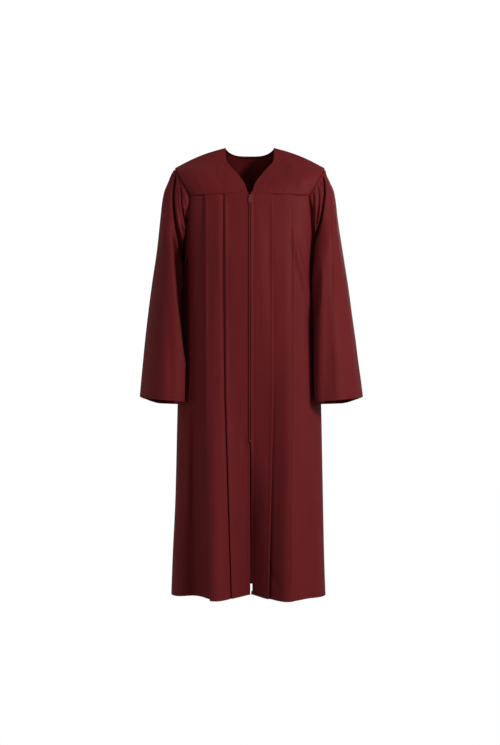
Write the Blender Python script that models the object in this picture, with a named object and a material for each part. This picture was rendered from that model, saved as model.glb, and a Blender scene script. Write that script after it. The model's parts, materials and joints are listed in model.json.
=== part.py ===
"""Choir robe: V neck, front and back yokes, knife-pleated panels, bell sleeves, centre-front zip.

The robe hangs as it is worn, hollow and open at neck, cuffs and hem. Units are metres, +Z is up,
the front faces -Y and +X is the wearer's left. The origin lies between the shoulders, where the
wearer holds the robe up. Node names end in R or L for the wearer's right (-X) and left (+X).
"""

import math
from collections import namedtuple

import bmesh
import bpy
from mathutils import Vector

# ---------------------------------------------------------------- driving dimensions
CLOTH = 0.0020          # wall of every cloth piece
TAPE = 0.0010           # wall of the zip tapes
SEAM = 0.0003           # gap left between pieces at a seam
LAYER = 0.0026          # spacing of the layers inside a pleat, middle to middle
UNDERLAY = 0.020        # width that each pleat folds back under the panel

SHOULDER = Vector((0.195, 0.002, -0.047))      # outer end of the shoulder seam
NECK_POINT = Vector((0.0634, 0.012, 0.0075))   # shoulder seam at the neck
BACK_NECK_DEPTH = 0.058                        # how far back the neckline reaches
NECK_RIDGE = 0.024                             # the shoulder line's height carried to the middle
YOKE_CORNER_X = 0.151                          # yoke seam at the armhole
YOKE_SEAM = -0.124                             # height of the yoke seam at the armhole
YOKE_SEAM_RISE = 0.006                         # how much higher it is at the centre front
BACK_SEAM = -0.135                             # height of the back yoke's seam
UNDERARM = -0.300                              # bottom of the armhole
HEM = -1.149                                   # hem at the sides
HEM_LIFT = 0.010                               # how much higher the hem is at the centre back
CHEST = Vector((0.0, 0.01, -0.20))             # a point inside, which outward normals point from
CUFF = -0.638                                  # sleeve hem at its outer side
SLEEVE_GAP = 0.007                             # air between a sleeve and the body beside it
SLEEVE_SOFT = 0.006                            # softness of the change where they meet

UP = Vector((0.0, 0.0, 1.0))
FORWARD = Vector((0.0, -1.0, 0.0))
YOKE_ROUND = 0.82       # 0 for straight yokes, 1 for yokes as round as a quarter ellipse
SHOULDER_ARCH = 0.006   # rise of the shoulder seam in its middle
CHEST_ROUND = 0.010     # how far the front yokes round out over the chest

OPENING = 0.0045        # half width between the two front edges along the zip
SLIT = 0.0016           # half width of the slit below the zip
SLIT_START = 0.030      # the opening has narrowed to the slit this far below the zip
ZIP_TOP = -0.1245
ZIP_BOTTOM = -0.753

# The body's outline at each height: half widths, depths and squareness of its sections.
Body = namedtuple("Body", "z right left front back power")
BODY = (
    Body(-0.120, 0.165, 0.165, 0.085, 0.098, 3.0),
    Body(-0.200, 0.167, 0.167, 0.108, 0.114, 2.8),
    Body(-0.300, 0.170, 0.171, 0.124, 0.126, 2.5),
    Body(-0.450, 0.178, 0.177, 0.130, 0.134, 2.4),
    Body(-0.650, 0.186, 0.184, 0.132, 0.140, 2.4),
    Body(-0.900, 0.192, 0.189, 0.132, 0.150, 2.4),
    Body(-1.050, 0.199, 0.192, 0.131, 0.156, 2.4),
    Body(-1.160, 0.203, 0.196, 0.130, 0.160, 2.4),
)

# Large soft folds of the body. Centres are x at the seam and at the hem; reach is half the width;
# a fold starts at a height and grows down to its depth at the hem, forward of the outline.
Fold = namedtuple("Fold", "x_top x_hem reach start depth")
FRONT_FOLDS = (
    Fold(0.000, 0.000, 0.075, -0.35, -0.026),
    Fold(-0.092, -0.086, 0.060, -0.40, 0.025),
    Fold(-0.140, -0.138, 0.050, -0.35, -0.018),
    Fold(0.110, 0.102, 0.062, -0.40, 0.031),
)
BACK_FOLDS = (
    Fold(0.000, 0.000, 0.065, -0.40, -0.020),
    Fold(-0.086, -0.094, 0.058, -0.35, 0.022),
    Fold(0.084, 0.092, 0.060, -0.35, 0.024),
)

# Knife pleats: x of the folded edge at the seam, half way and at the hem, and the step from the
# edge back to the panel behind it, at the seam and at the hem. The edges point to the sides.
Pleat = namedtuple("Pleat", "x_seam x_middle x_hem step_seam step_hem")
PLEATS = {
    "front_R": (Pleat(0.0647, 0.0610, 0.0453, 0.0054, 0.0080),
                Pleat(0.1140, 0.1120, 0.1000, 0.0054, 0.0300)),
    "front_L": (Pleat(0.0595, 0.0595, 0.0480, 0.0054, 0.0090),
                Pleat(0.1150, 0.1150, 0.1080, 0.0054, 0.0070)),
    "back_R": (Pleat(0.0560, 0.0570, 0.0540, 0.0054, 0.0120),
               Pleat(0.1080, 0.1100, 0.1120, 0.0054, 0.0200)),
    "back_L": (Pleat(0.0580, 0.0570, 0.0560, 0.0054, 0.0100),
               Pleat(0.1100, 0.1110, 0.1080, 0.0054, 0.0180)),
}

# Where the armhole edge lies on the body's outline, as a share of the half width.
ArmholeEdge = namedtuple("ArmholeEdge", "z front back")
ARMHOLE = (
    ArmholeEdge(-0.110, 0.908, 0.925),
    ArmholeEdge(-0.124, 0.915, 0.930),
    ArmholeEdge(-0.160, 0.935, 0.940),
    ArmholeEdge(-0.200, 0.945, 0.948),
    ArmholeEdge(-0.240, 0.953, 0.957),
    ArmholeEdge(-0.270, 0.966, 0.970),
    ArmholeEdge(-0.290, 0.986, 0.988),
    ArmholeEdge(-0.300, 1.000, 1.000),
)
ARMHOLE_ROWS = (0.0, 0.19, 0.40, 0.61, 0.80, 0.93, 1.0)  # shares of the way to the underarm
SIDE_COLUMNS = (0.25, 0.5, 0.75, 1.0)                    # shares of the way to the outer edge
PROBE = 0.001                                            # step used to read a slope
SIDE_FADE = 0.12        # the folds fade out over this last share of the half width
STEP_REACH = 0.92       # share of the half width by which a pleat's step has closed
BACK_RISE_REACH = 0.19                                   # the back hem's rise dies out at this x

# The front hem's line, above the hem at the sides.
HemLine = namedtuple("HemLine", "x rise")
HEM_LINE = (
    HemLine(-0.200, 0.002),
    HemLine(-0.150, 0.005),
    HemLine(-0.085, 0.001),
    HemLine(-0.040, 0.004),
    HemLine(-0.015, 0.008),
    HemLine(0.000, 0.011),
    HemLine(0.015, 0.008),
    HemLine(0.040, 0.003),
    HemLine(0.090, -0.001),
    HemLine(0.150, 0.001),
    HemLine(0.200, 0.000),
)
SKIRT_ROWS = (-0.36, -0.45, -0.54, -0.635, -0.757, -0.80, -0.90, -1.02, HEM)    # heights below it

# The V neckline from the shoulder seam down to the yoke seam.
NeckEdge = namedtuple("NeckEdge", "half_width y z")
NECKLINE = (
    NeckEdge(0.0634, 0.012, 0.0075),
    NeckEdge(0.0609, -0.010, -0.0270),
    NeckEdge(0.0502, -0.026, -0.0444),
    NeckEdge(0.0357, -0.042, -0.0615),
    NeckEdge(0.0227, -0.057, -0.0785),
    NeckEdge(0.0128, -0.070, -0.0954),
    NeckEdge(0.0060, -0.083, -0.1180),
)
YOKE_ROWS = 7
YOKE_COLUMNS = 11
BACK_YOKE_ROWS = 6

# Horizontal sections of the sleeves: inner and outer distance from the middle plane, depth to the
# front and to the back, and the roundness of the outer half, which is nearly a fold lower down.
Sleeve = namedtuple("Sleeve", "z inner outer_right outer_left front back edge")
SLEEVE = (
    Sleeve(-0.047, 0.186, 0.199, 0.199, -0.020, 0.024, 2.7),
    Sleeve(-0.065, 0.180, 0.208, 0.203, -0.036, 0.042, 2.7),
    Sleeve(-0.080, 0.174, 0.213, 0.209, -0.048, 0.056, 2.6),
    Sleeve(-0.111, 0.168, 0.2230, 0.2195, -0.064, 0.074, 2.4),
    Sleeve(-0.171, 0.160, 0.2300, 0.2265, -0.082, 0.090, 2.2),
    Sleeve(-0.254, 0.147, 0.2395, 0.2385, -0.095, 0.100, 2.0),
    Sleeve(-0.336, 0.142, 0.2510, 0.2520, -0.102, 0.108, 1.85),
    Sleeve(-0.419, 0.141, 0.2620, 0.2640, -0.106, 0.116, 1.75),
    Sleeve(-0.502, 0.141, 0.2725, 0.2755, -0.108, 0.125, 1.7),
    Sleeve(-0.585, 0.141, 0.2805, 0.2865, -0.109, 0.134, 1.7),
    Sleeve(-0.690, 0.141, 0.2890, 0.3000, -0.110, 0.143, 1.7),
)
SLEEVE_POWER = 2.7      # roundness of the inner half
CROWN_DROP = 0.100      # height over which the sleeve swings from the armhole to its own section
SLEEVE_ROWS = (0.0, 0.025, 0.065, 0.12, 0.18, 0.26, 0.36, 0.49, 0.65, 0.83, 1.0)

# Height of the sleeve hem round the cuff: turn 0 is outside, 0.25 front, 0.5 inside, 0.75 back.
Cuff = namedtuple("Cuff", "turn drop")
CUFF_EDGE = (
    Cuff(0.00, 0.000),
    Cuff(0.12, 0.003),
    Cuff(0.25, 0.008),
    Cuff(0.38, 0.0125),
    Cuff(0.50, 0.017),
    Cuff(0.65, 0.022),
    Cuff(0.80, 0.020),
    Cuff(0.92, 0.008),
    Cuff(1.00, 0.000),
)

# Gathers and folds of a sleeve: the turn where a fold starts at the crown and where it ends, the
# shares of the sleeve's length between which it runs, half its width in turns, and its depth.
Gather = namedtuple("Gather", "turn_top turn_end start end reach depth")
GATHER_AT_SEAM = 0.18   # how far along its swell a gather already is at its start
GATHERS = {
    "R": (
        Gather(0.08, 0.36, 0.00, 0.45, 0.085, 0.012),
        Gather(0.86, 0.68, 0.00, 0.48, 0.085, 0.011),
        Gather(0.72, 0.70, 0.40, 1.05, 0.080, 0.010),
    ),
    "L": (
        Gather(0.06, 0.38, 0.00, 0.52, 0.085, 0.013),
        Gather(0.84, 0.66, 0.00, 0.45, 0.085, 0.011),
        Gather(0.71, 0.72, 0.45, 1.05, 0.080, 0.009),
    ),
}

# Zip hardware.
TAPE_WIDTH = 0.0135     # from the middle to a tape's outer edge
TAPE_OVERRUN = 0.0036   # how far the tapes run on above the slider
TAPE_TAIL = 0.012       # and below the zip's end
CHAIN_HALF = 0.0028
CHAIN_DEPTH = 0.0018
STOP_DEPTH = 0.0022
SLIDER_HALF_TOP = 0.0038
SLIDER_HALF_MOUTH = 0.0031
SLIDER_LENGTH = 0.0115
SLIDER_DEPTH = 0.0032
SLIDER_CROWN = 0.003    # height of the slider's rounded top
BRIDGE_INNER = 0.0015
BRIDGE_OUTER = 0.0026
BRIDGE_HALF = 0.0009
BRIDGE_STEPS = 10
PIVOT_DROP = 0.0045     # pivot of the pull tab below the slider's top
TAB_HALF = 0.0032
TAB_LENGTH = 0.0185
TAB_DEPTH = 0.0010
TAB_SEAT = -(SEAM + TAB_DEPTH / 2)      # pivot in front of the slider's face
TAB_NECK = 0.0026       # half width of the tab beside the bridge
TAB_WINDOW_HALF = 0.0013
TAB_WINDOW_LENGTH = 0.0029
TAB_BAR = 0.0005        # half height of the bar that turns inside the bridge
TAB_SHOULDER = 0.0050   # where the tab widens, below its top
GRIP_HALF = 0.0014      # grip hole: half width, half height, height above the tab's end
GRIP_TALL = 0.0030
GRIP_RISE = 0.0062
STOP_HEIGHT = 0.0028

ROBE_COLOUR = (0.115, 0.014, 0.018, 1.0)
TAPE_COLOUR = (0.085, 0.010, 0.014, 1.0)
SLIDER_COLOUR = (0.150, 0.022, 0.030, 1.0)


# ---------------------------------------------------------------- small helpers
def lerp(a, b, share):
    return a + (b - a) * share


def clamp(value, low=0.0, high=1.0):
    return max(low, min(high, value))


def smooth(share):
    share = clamp(share)
    return share * share * (3.0 - 2.0 * share)


def read_table(table, key, column, at):
    """Value of a column where the key column equals `at`, on a smooth curve through the rows."""
    keys = [getattr(row, key) for row in table]
    values = [getattr(row, column) for row in table]
    if keys[0] > keys[-1]:
        keys.reverse()
        values.reverse()
    at = clamp(at, keys[0], keys[-1])
    index = next(i for i in range(len(keys) - 1) if at <= keys[i + 1])
    slopes = [(values[i + 1] - values[i]) / (keys[i + 1] - keys[i]) for i in range(len(keys) - 1)]

    def tangent(i):
        if i == 0:
            return slopes[0]
        if i == len(keys) - 1:
            return slopes[-1]
        if slopes[i - 1] * slopes[i] <= 0.0:
            return 0.0
        return 2.0 * slopes[i - 1] * slopes[i] / (slopes[i - 1] + slopes[i])

    span = keys[index + 1] - keys[index]
    t = (at - keys[index]) / span
    h_start = 2 * t ** 3 - 3 * t ** 2 + 1
    h_out = t ** 3 - 2 * t ** 2 + t
    h_end = -2 * t ** 3 + 3 * t ** 2
    h_in = t ** 3 - t ** 2
    return (h_start * values[index] + h_out * span * tangent(index)
            + h_end * values[index + 1] + h_in * span * tangent(index + 1))


def bump(distance):
    """A soft hump: 1 in the middle, 0 from a distance of 1 on."""
    return 0.5 * (1.0 + math.cos(math.pi * distance)) if abs(distance) < 1.0 else 0.0


# ---------------------------------------------------------------- the body's surface
def skirt_share(z):
    return clamp((YOKE_SEAM - z) / (YOKE_SEAM - HEM))


def half_width(sign, z):
    return read_table(BODY, "z", "left" if sign > 0 else "right", z)


def outline_y(x, z, facing):
    """Depth of the plain body outline at x; facing is -1 for the front and +1 for the back."""
    power = read_table(BODY, "z", "power", z)
    depth = read_table(BODY, "z", "front" if facing < 0 else "back", z)
    share = min(1.0, abs(x) / half_width(x, z))
    return facing * depth * (1.0 - share ** power) ** (1.0 / power)


def fold_height(x, z, folds):
    """How far the large folds stand out of the outline at x."""
    total = 0.0
    for fold in folds:
        centre = lerp(fold.x_top, fold.x_hem, skirt_share(z))
        growth = clamp((fold.start - z) / (fold.start - HEM)) ** 1.2
        total += fold.depth * growth * bump((x - centre) / fold.reach)
    return total


def surface_y(x, z, facing):
    folds = FRONT_FOLDS if facing < 0 else BACK_FOLDS
    side_fade = smooth((1.0 - abs(x) / half_width(x, z)) / SIDE_FADE)
    return outline_y(x, z, facing) + facing * side_fade * fold_height(x, z, folds)


def pleat_x(pleat, z):
    share = skirt_share(z)
    if share < 0.5:
        return lerp(pleat.x_seam, pleat.x_middle, share / 0.5)
    return lerp(pleat.x_middle, pleat.x_hem, (share - 0.5) / 0.5)


def pleat_step(pleat, z):
    return lerp(pleat.step_seam, pleat.step_hem, skirt_share(z) ** 1.6)


def row_height(x, z, facing):
    """Height of a point on the row that lies at z at the side: seam and hem rise to the centre."""
    share = skirt_share(z)
    if facing < 0:
        hem_rise = read_table(HEM_LINE, "x", "rise", x)
        seam_rise = YOKE_SEAM_RISE * clamp(1.0 - abs(x) / YOKE_CORNER_X)
    else:
        hem_rise = HEM_LIFT * smooth(1.0 - abs(x) / BACK_RISE_REACH)
        seam_rise = BACK_SEAM - YOKE_SEAM
    return z + hem_rise * share ** 3 + seam_rise * (1.0 - share) ** 3


def panel_section(start_x, z, facing, sign, pleats):
    """Half a panel's section at one height, from the centre to its outer edge, with its pleats.

    Every pleat is a fold edge, an underlay that runs back behind the panel, and the next panel,
    which starts behind both and comes forward again to its own outer edge.
    """
    section = []

    def add(x, recess):
        y = surface_y(sign * x, z, facing) - facing * recess
        section.append(Vector((sign * x, y, row_height(sign * x, z, facing))))

    inner = start_x
    step = 0.0
    for pleat in pleats:
        edge = pleat_x(pleat, z)
        back = edge - UNDERLAY
        middle = edge - UNDERLAY / 2

        def recess(x, inner=inner, step=step, edge=edge):
            return step * (1.0 - smooth((x - inner) / (edge - inner)))

        def layer(x, recess=recess):
            """Depth of one cloth layer behind the panel, square to its slope."""
            rise = (surface_y(sign * (x + PROBE), z, facing) - facing * recess(x + PROBE)
                    - surface_y(sign * (x - PROBE), z, facing) + facing * recess(x - PROBE))
            return LAYER * math.hypot(1.0, rise / (2 * PROBE))

        for share in ((0.0, 0.33, 0.67) if not section else (0.33, 0.67)):
            x = lerp(inner, back, share)
            add(x, recess(x))
        for x in (back, middle, edge):
            add(x, recess(x))
        for x in (edge, middle, back):
            add(x, recess(x) + layer(x))
        add(back, recess(back) + 2 * layer(back))
        step = max(pleat_step(pleat, z), 2 * layer(edge))
        add(middle, recess(middle) + lerp(2 * layer(middle), max(step, 2 * layer(middle)), 0.5))
        add(edge, step)
        inner = edge
    side = half_width(sign, z)
    power = read_table(BODY, "z", "power", z)
    edge_share = read_table(ARMHOLE, "z", "front" if facing < 0 else "back", max(z, UNDERARM))
    turn_start = math.asin((inner / side) ** (power / 2))
    turn_end = math.asin(min(1.0, edge_share) ** (power / 2)) if z > UNDERARM else math.pi / 2
    for share in SIDE_COLUMNS:
        turn = lerp(turn_start, turn_end, share)
        x = side * math.sin(turn) ** (2 / power)
        add(x, step * (1.0 - smooth((x - inner) / (STEP_REACH * side - inner))))
    return section


def trim_side(section, amount):
    """Draw the outer end of a section back by a seam's half gap."""
    along = (section[-1] - section[-2]).normalized()
    section[-1] = section[-1] - along * amount
    return section


# ---------------------------------------------------------------- closed walls from rows of points
def wall_normals(rows, closed):
    """Mitred offset direction of every point of a grid of rows."""
    normals = []
    last = len(rows) - 1
    for r, row in enumerate(rows):
        count = len(row)
        line = []
        for c, point in enumerate(row):
            across = rows[min(r + 1, last)][c] - rows[max(r - 1, 0)][c]
            before = row[c - 1] if c > 0 else (row[-1] if closed else None)
            after = row[c + 1] if c < count - 1 else (row[0] if closed else None)
            sides = []
            if before is not None:
                sides.append((point - before).cross(across).normalized())
            if after is not None:
                sides.append((after - point).cross(across).normalized())
            total = sum(sides, Vector())
            half = total.normalized()
            line.append(half / max(0.6, half.dot(sides[0])))
        normals.append(line)
    return normals


def flatten(normal, axis):
    """Turn an offset square to an axis and keep its wall's thickness, so that ends meet flush."""
    flat = normal - normal.project(axis)
    return flat * (normal.length_squared / max(0.5 * normal.length * flat.length, flat.dot(normal)))


def build_wall(name, rows, material, thickness=CLOTH, closed=False, flush=()):
    """One closed cloth wall through rows of midline points; returns its normals.

    flush names rows whose end face lies square to an axis, as (row, axis, test of the point).
    """
    normals = wall_normals(rows, closed)
    for r, axis, test in flush:
        normals[r] = [flatten(normal, axis) if test(point) else normal
                      for point, normal in zip(rows[r], normals[r])]
    bm = bmesh.new()
    faces = []
    for direction in (1.0, -1.0):
        faces.append([[bm.verts.new(p + n * (direction * thickness / 2)) for p, n in zip(row, line)]
                      for row, line in zip(rows, normals)])
    count = len(rows[0])
    steps = range(count if closed else count - 1)
    for grid in faces:
        for r in range(len(rows) - 1):
            for c in steps:
                d = (c + 1) % count
                bm.faces.new((grid[r][c], grid[r][d], grid[r + 1][d], grid[r + 1][c]))
    outer, inner = faces
    for r in (0, len(rows) - 1):
        for c in steps:
            d = (c + 1) % count
            bm.faces.new((outer[r][c], outer[r][d], inner[r][d], inner[r][c]))
    if not closed:
        for c in (0, count - 1):
            for r in range(len(rows) - 1):
                bm.faces.new((outer[r][c], outer[r + 1][c], inner[r + 1][c], inner[r][c]))
    bmesh.ops.recalc_face_normals(bm, faces=bm.faces)
    finish_mesh(name, bm, material)
    return normals


def finish_mesh(name, bm, material):
    mesh = bpy.data.meshes.new(name)
    bm.to_mesh(mesh)
    bm.free()
    mesh.shade_smooth()
    mesh.set_sharp_from_angle(angle=math.radians(50))
    mesh.materials.append(material)
    piece = bpy.data.objects.new(name, mesh)
    bpy.context.scene.collection.objects.link(piece)
    return piece


def make_material(name, colour, roughness, metallic):
    material = bpy.data.materials.new(name)
    material.use_nodes = True
    shader = material.node_tree.nodes["Principled BSDF"]
    shader.inputs["Base Color"].default_value = colour
    shader.inputs["Roughness"].default_value = roughness
    shader.inputs["Metallic"].default_value = metallic
    return material


# ---------------------------------------------------------------- panels
def panel_heights():
    return [lerp(YOKE_SEAM, UNDERARM, share) for share in ARMHOLE_ROWS] + list(SKIRT_ROWS)


def everywhere(point):
    return True


def front_edge(z):
    """Half the distance between the two front edges: V tip, zip opening, then the slit."""
    if z < ZIP_BOTTOM - SLIT_START:
        return SLIT
    if z < YOKE_SEAM:
        return OPENING
    return NECKLINE[-1].half_width


def build_front(side, sign, material):
    rows = []
    for z in panel_heights():
        section = panel_section(front_edge(z), z, -1, sign, PLEATS["front_" + side])
        rows.append(trim_side(section, SEAM / 2))
    rows[0] = [point - Vector((0, 0, SEAM / 2)) for point in rows[0]]
    normals = build_wall("front_" + side, rows, material, flush=((0, UP, everywhere),))
    return rows, normals


def build_back(material):
    rows = []
    for z in panel_heights():
        right = panel_section(0.0, z, 1, -1, PLEATS["back_R"])
        left = panel_section(0.0, z, 1, 1, PLEATS["back_L"])
        right = trim_side(right, SEAM / 2)
        left = trim_side(left, SEAM / 2)
        rows.append(right[::-1] + left[1:])
    rows[0] = [point - Vector((0, 0, SEAM / 2)) for point in rows[0]]
    normals = build_wall("back_panel", rows, material, flush=((0, UP, everywhere),))
    return rows, normals


# ---------------------------------------------------------------- yokes
def yoke_fall(share):
    """Outward and downward shares of a yoke's curve from the shoulder line to the yoke seam."""
    turn = share * math.pi / 2
    outward = lerp(share, math.sin(turn), YOKE_ROUND)
    down = lerp(share, 1.0 - math.cos(turn), YOKE_ROUND)
    return outward, down


def yoke_side_edge(corner, share):
    """The armhole edge of a yoke: straight from the front, rounded from the side."""
    outward, down = yoke_fall(share)
    point = SHOULDER.lerp(corner, down)
    point.y = lerp(SHOULDER.y, corner.y, outward)
    return point


def neckline_point(share):
    at = share * (len(NECKLINE) - 1)
    index = min(int(at), len(NECKLINE) - 2)
    return Vector(NECKLINE[index]).lerp(Vector(NECKLINE[index + 1]), at - index)


def coons(top, bottom, left, right, u, v):
    """Point of the patch between four boundary curves."""
    ruled = top(u).lerp(bottom(u), v) + left(v).lerp(right(v), u)
    corners = top(0.0).lerp(top(1.0), u).lerp(bottom(0.0).lerp(bottom(1.0), u), v)
    return ruled - corners


def seam_corner(facing):
    """Where a yoke seam meets the armhole."""
    column = "front" if facing < 0 else "back"
    x = half_width(1, YOKE_SEAM) * read_table(ARMHOLE, "z", column, YOKE_SEAM)
    return Vector((x, surface_y(x, YOKE_SEAM, facing), row_height(x, YOKE_SEAM, facing)))


def shoulder_seam(u):
    point = NECK_POINT.lerp(SHOULDER, u)
    point.z += SHOULDER_ARCH * math.sin(math.pi * u)
    return point


def draw_back(rows):
    """Draw the first and last rows of a yoke back by half a seam's gap."""
    for row, inward in ((rows[0], rows[1]), (rows[-1], rows[-2])):
        row[:] = [point + (towards - point).normalized() * (SEAM / 2)
                  for point, towards in zip(row, inward)]


def build_front_yoke(side, sign, material):
    """The patch between shoulder seam, yoke seam, neckline and armhole, rounded over the chest."""
    corner = seam_corner(-1)
    tip = NECKLINE[-1].half_width

    def bottom(u):
        x = lerp(tip, corner.x, u)
        return Vector((x, surface_y(x, YOKE_SEAM, -1), row_height(x, YOKE_SEAM, -1)))

    def neckline(v):
        return neckline_point(v) + (bottom(0.0) - neckline_point(1.0)) * v ** 4

    def armhole(v):
        return yoke_side_edge(corner, v)

    rows = []
    for r in range(YOKE_ROWS):
        v = r / (YOKE_ROWS - 1)
        row = []
        for c in range(YOKE_COLUMNS):
            u = c / (YOKE_COLUMNS - 1)
            point = coons(shoulder_seam, bottom, neckline, armhole, u, v)
            round_out = math.sin(math.pi * v) * math.sin(math.pi * lerp(0.15, 1.0, u)) * u
            point.y -= CHEST_ROUND * round_out
            row.append(Vector((sign * point.x, point.y, point.z)))
        rows.append(row)
    draw_back(rows)
    flush = ((0, FORWARD, everywhere), (-1, UP, everywhere))
    normals = build_wall("yoke_front_" + side, rows, material, flush=flush)
    return rows, normals


def shoulder_line(x):
    """The shoulder seam's line, carried across the neck as the ridge that the back falls from."""
    if abs(x) >= NECK_POINT.x:
        point = shoulder_seam((abs(x) - NECK_POINT.x) / (SHOULDER.x - NECK_POINT.x))
        return Vector((x, point.y, point.z))
    rise = math.cos(math.pi / 2 * x / NECK_POINT.x) ** 2
    return Vector((x, NECK_POINT.y, lerp(NECK_POINT.z, NECK_RIDGE, rise)))


def back_profile(x, v, corner):
    """A point of the back yoke below the shoulder line's point at x."""
    top = shoulder_line(x)
    foot_x = x * corner.x / SHOULDER.x
    foot = Vector((foot_x, surface_y(foot_x, YOKE_SEAM, 1), row_height(foot_x, YOKE_SEAM, 1)))
    outward, down = yoke_fall(v)
    return Vector((lerp(x, foot_x, down), lerp(top.y, foot.y, outward), lerp(top.z, foot.z, down)))


def neck_cut(x, corner):
    """Share of the profile at x that the back neckline cuts away."""
    if abs(x) >= NECK_POINT.x:
        return 0.0
    reach = math.sqrt(1.0 - (x / NECK_POINT.x) ** 2)
    target = lerp(NECK_POINT.y, BACK_NECK_DEPTH, reach)
    low, high = 0.0, 1.0
    for _ in range(30):
        middle = (low + high) / 2
        if back_profile(x, middle, corner).y < target:
            low = middle
        else:
            high = middle
    return low


def build_back_yoke(material):
    """The back yoke: profiles from the shoulder seams and the neckline down to the back seam."""
    corner = seam_corner(1)
    shoulder_steps = 6
    neck_steps = 5
    places = [lerp(SHOULDER.x, NECK_POINT.x, i / shoulder_steps) for i in range(shoulder_steps + 1)]
    places += [NECK_POINT.x * math.cos(math.pi / 2 * i / neck_steps) for i in range(1, neck_steps + 1)]
    places = [-x for x in places] + places[-2::-1]
    rows = []
    for r in range(BACK_YOKE_ROWS):
        share = r / (BACK_YOKE_ROWS - 1)
        row = [back_profile(x, lerp(neck_cut(x, corner), 1.0, share), corner) for x in places]
        edge = yoke_side_edge(corner, share)
        row[0] = Vector((-edge.x, edge.y, edge.z))
        row[-1] = edge
        rows.append(row)
    draw_back(rows)

    def on_shoulder(point):
        return abs(point.x) > NECK_POINT.x - SEAM

    flush = ((0, FORWARD, on_shoulder), (-1, UP, everywhere))
    normals = build_wall("yoke_back", rows, material, flush=flush)
    return rows, normals


# ---------------------------------------------------------------- sleeves
def edge_line(rows, normals, column, count):
    return [(rows[r][column], normals[r][column].normalized()) for r in range(count)]


def armhole_loop(front_yoke, front, back, back_yoke, sign):
    """Points and outward normals round an armhole: shoulder, front, underarm, back, shoulder."""
    count = len(ARMHOLE_ROWS)
    side_column = -1 if sign > 0 else 0
    down = edge_line(*front_yoke, -1, YOKE_ROWS) + edge_line(*front, -1, count)
    up = edge_line(*back_yoke, side_column, BACK_YOKE_ROWS) + edge_line(*back, side_column, count)
    loop = []
    for point, normal in down + up[::-1]:
        if normal.dot(point - CHEST) < 0:
            normal = -normal
        if loop and (loop[-1][0] - point).length < 4 * SEAM:
            point, normal = joined(loop.pop(), (point, normal))
        loop.append((point, normal))
    last = loop.pop()
    loop[0] = joined(loop[0], last)
    return loop


def joined(first, second):
    """Middle of two edge points that face each other across a seam."""
    return (first[0] + second[0]) / 2, (first[1] + second[1]).normalized()


def sleeve_section(turn, z, sign):
    """Point of a sleeve's own horizontal section; turn 0 is outside and 0.25 is the front."""
    inner = read_table(SLEEVE, "z", "inner", z)
    outer = read_table(SLEEVE, "z", "outer_left" if sign > 0 else "outer_right", z)
    front = read_table(SLEEVE, "z", "front", z)
    back = read_table(SLEEVE, "z", "back", z)
    across, along = math.cos(2 * math.pi * turn), math.sin(2 * math.pi * turn)
    power = read_table(SLEEVE, "z", "edge", z) if across > 0 else SLEEVE_POWER
    reach = (abs(across) ** power + abs(along) ** power) ** (-1 / power)
    x = (inner + outer) / 2 + (outer - inner) / 2 * reach * across
    y = (front + back) / 2 - (back - front) / 2 * reach * along
    return x, y


def beside_body(x, y, z, sign):
    """Keep a sleeve's point outside the body's outline, with a soft change."""
    power = read_table(BODY, "z", "power", z)
    depth = read_table(BODY, "z", "front" if y < 0 else "back", z) + SLEEVE_GAP
    share = abs(y) / depth
    if share >= 1.0:
        return x
    wall = (half_width(sign, z) + SLEEVE_GAP) * (1.0 - share ** power) ** (1.0 / power)
    return 0.5 * (x + wall + math.sqrt((x - wall) ** 2 + SLEEVE_SOFT ** 2))


def gather_depth(side, turn, share):
    total = 0.0
    for gather in GATHERS[side]:
        run = (share - gather.start) / (gather.end - gather.start)
        if not 0.0 <= run < 1.0:
            continue
        centre = lerp(gather.turn_top, gather.turn_end, smooth(run ** 0.8))
        strength = math.sin(math.pi * lerp(GATHER_AT_SEAM, 1.0, run)) ** 0.7
        total += gather.depth * strength * bump((turn - centre) / gather.reach)
    return total


def loop_turns(points):
    """Turn of each armhole point: 0 at the shoulder, 0.5 at the underarm, by length of edge."""
    count = len(points)
    lengths = [0.0]
    for i in range(count):
        lengths.append(lengths[-1] + (points[(i + 1) % count] - points[i]).length)
    lowest = min(range(count), key=lambda i: points[i].z)
    front, back = lengths[lowest], lengths[-1] - lengths[lowest]
    return [0.5 * length / front if length <= front else 0.5 + 0.5 * (length - front) / back
            for length in lengths[:count]]


def sleeve_point(side, sign, start, turn, share):
    """Point of a hang line, which runs from the armhole's start point down to the cuff."""
    z = lerp(start.z, CUFF - read_table(CUFF_EDGE, "turn", "drop", turn), share)
    x_seam, y_seam = sleeve_section(turn, start.z, sign)
    x, y = sleeve_section(turn, z, sign)
    hold = (1.0 - clamp((start.z - z) / CROWN_DROP)) ** 2
    angle = 2 * math.pi * turn
    dent = gather_depth(side, turn, share)
    x += hold * (abs(start.x) - x_seam) - dent * math.cos(angle)
    y += hold * (start.y - y_seam) + dent * math.sin(angle)
    if 0.2 < turn < 0.8:
        x = beside_body(x, y, z, sign)
    return Vector((sign * x, y, z))


def build_sleeve(side, sign, loop, material):
    """A sleeve lapped on the armhole edge, which swings out to its own sections and hangs down."""
    points = [point for point, _ in loop]
    turns = loop_turns(points)
    starts = []
    for i, (point, normal) in enumerate(loop):
        along = points[(i + 1) % len(points)] - points[i - 1]
        beyond = normal.cross(along).normalized() * sign
        starts.append(point + normal * (CLOTH + SEAM) + beyond * (CLOTH / 2 + SEAM))
    rows = [starts]
    for share in SLEEVE_ROWS[1:]:
        rows.append([sleeve_point(side, sign, start, turn, share)
                     for start, turn in zip(starts, turns)])
    build_wall("sleeve_" + side, rows, material, closed=True)


# ---------------------------------------------------------------- zip
def zip_line(front_right, front_left):
    """Middle line between the two front edges, on the fronts' middle surface."""
    return [(right[0] + left[0]) / 2 for right, left in zip(front_right, front_left)]


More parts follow.
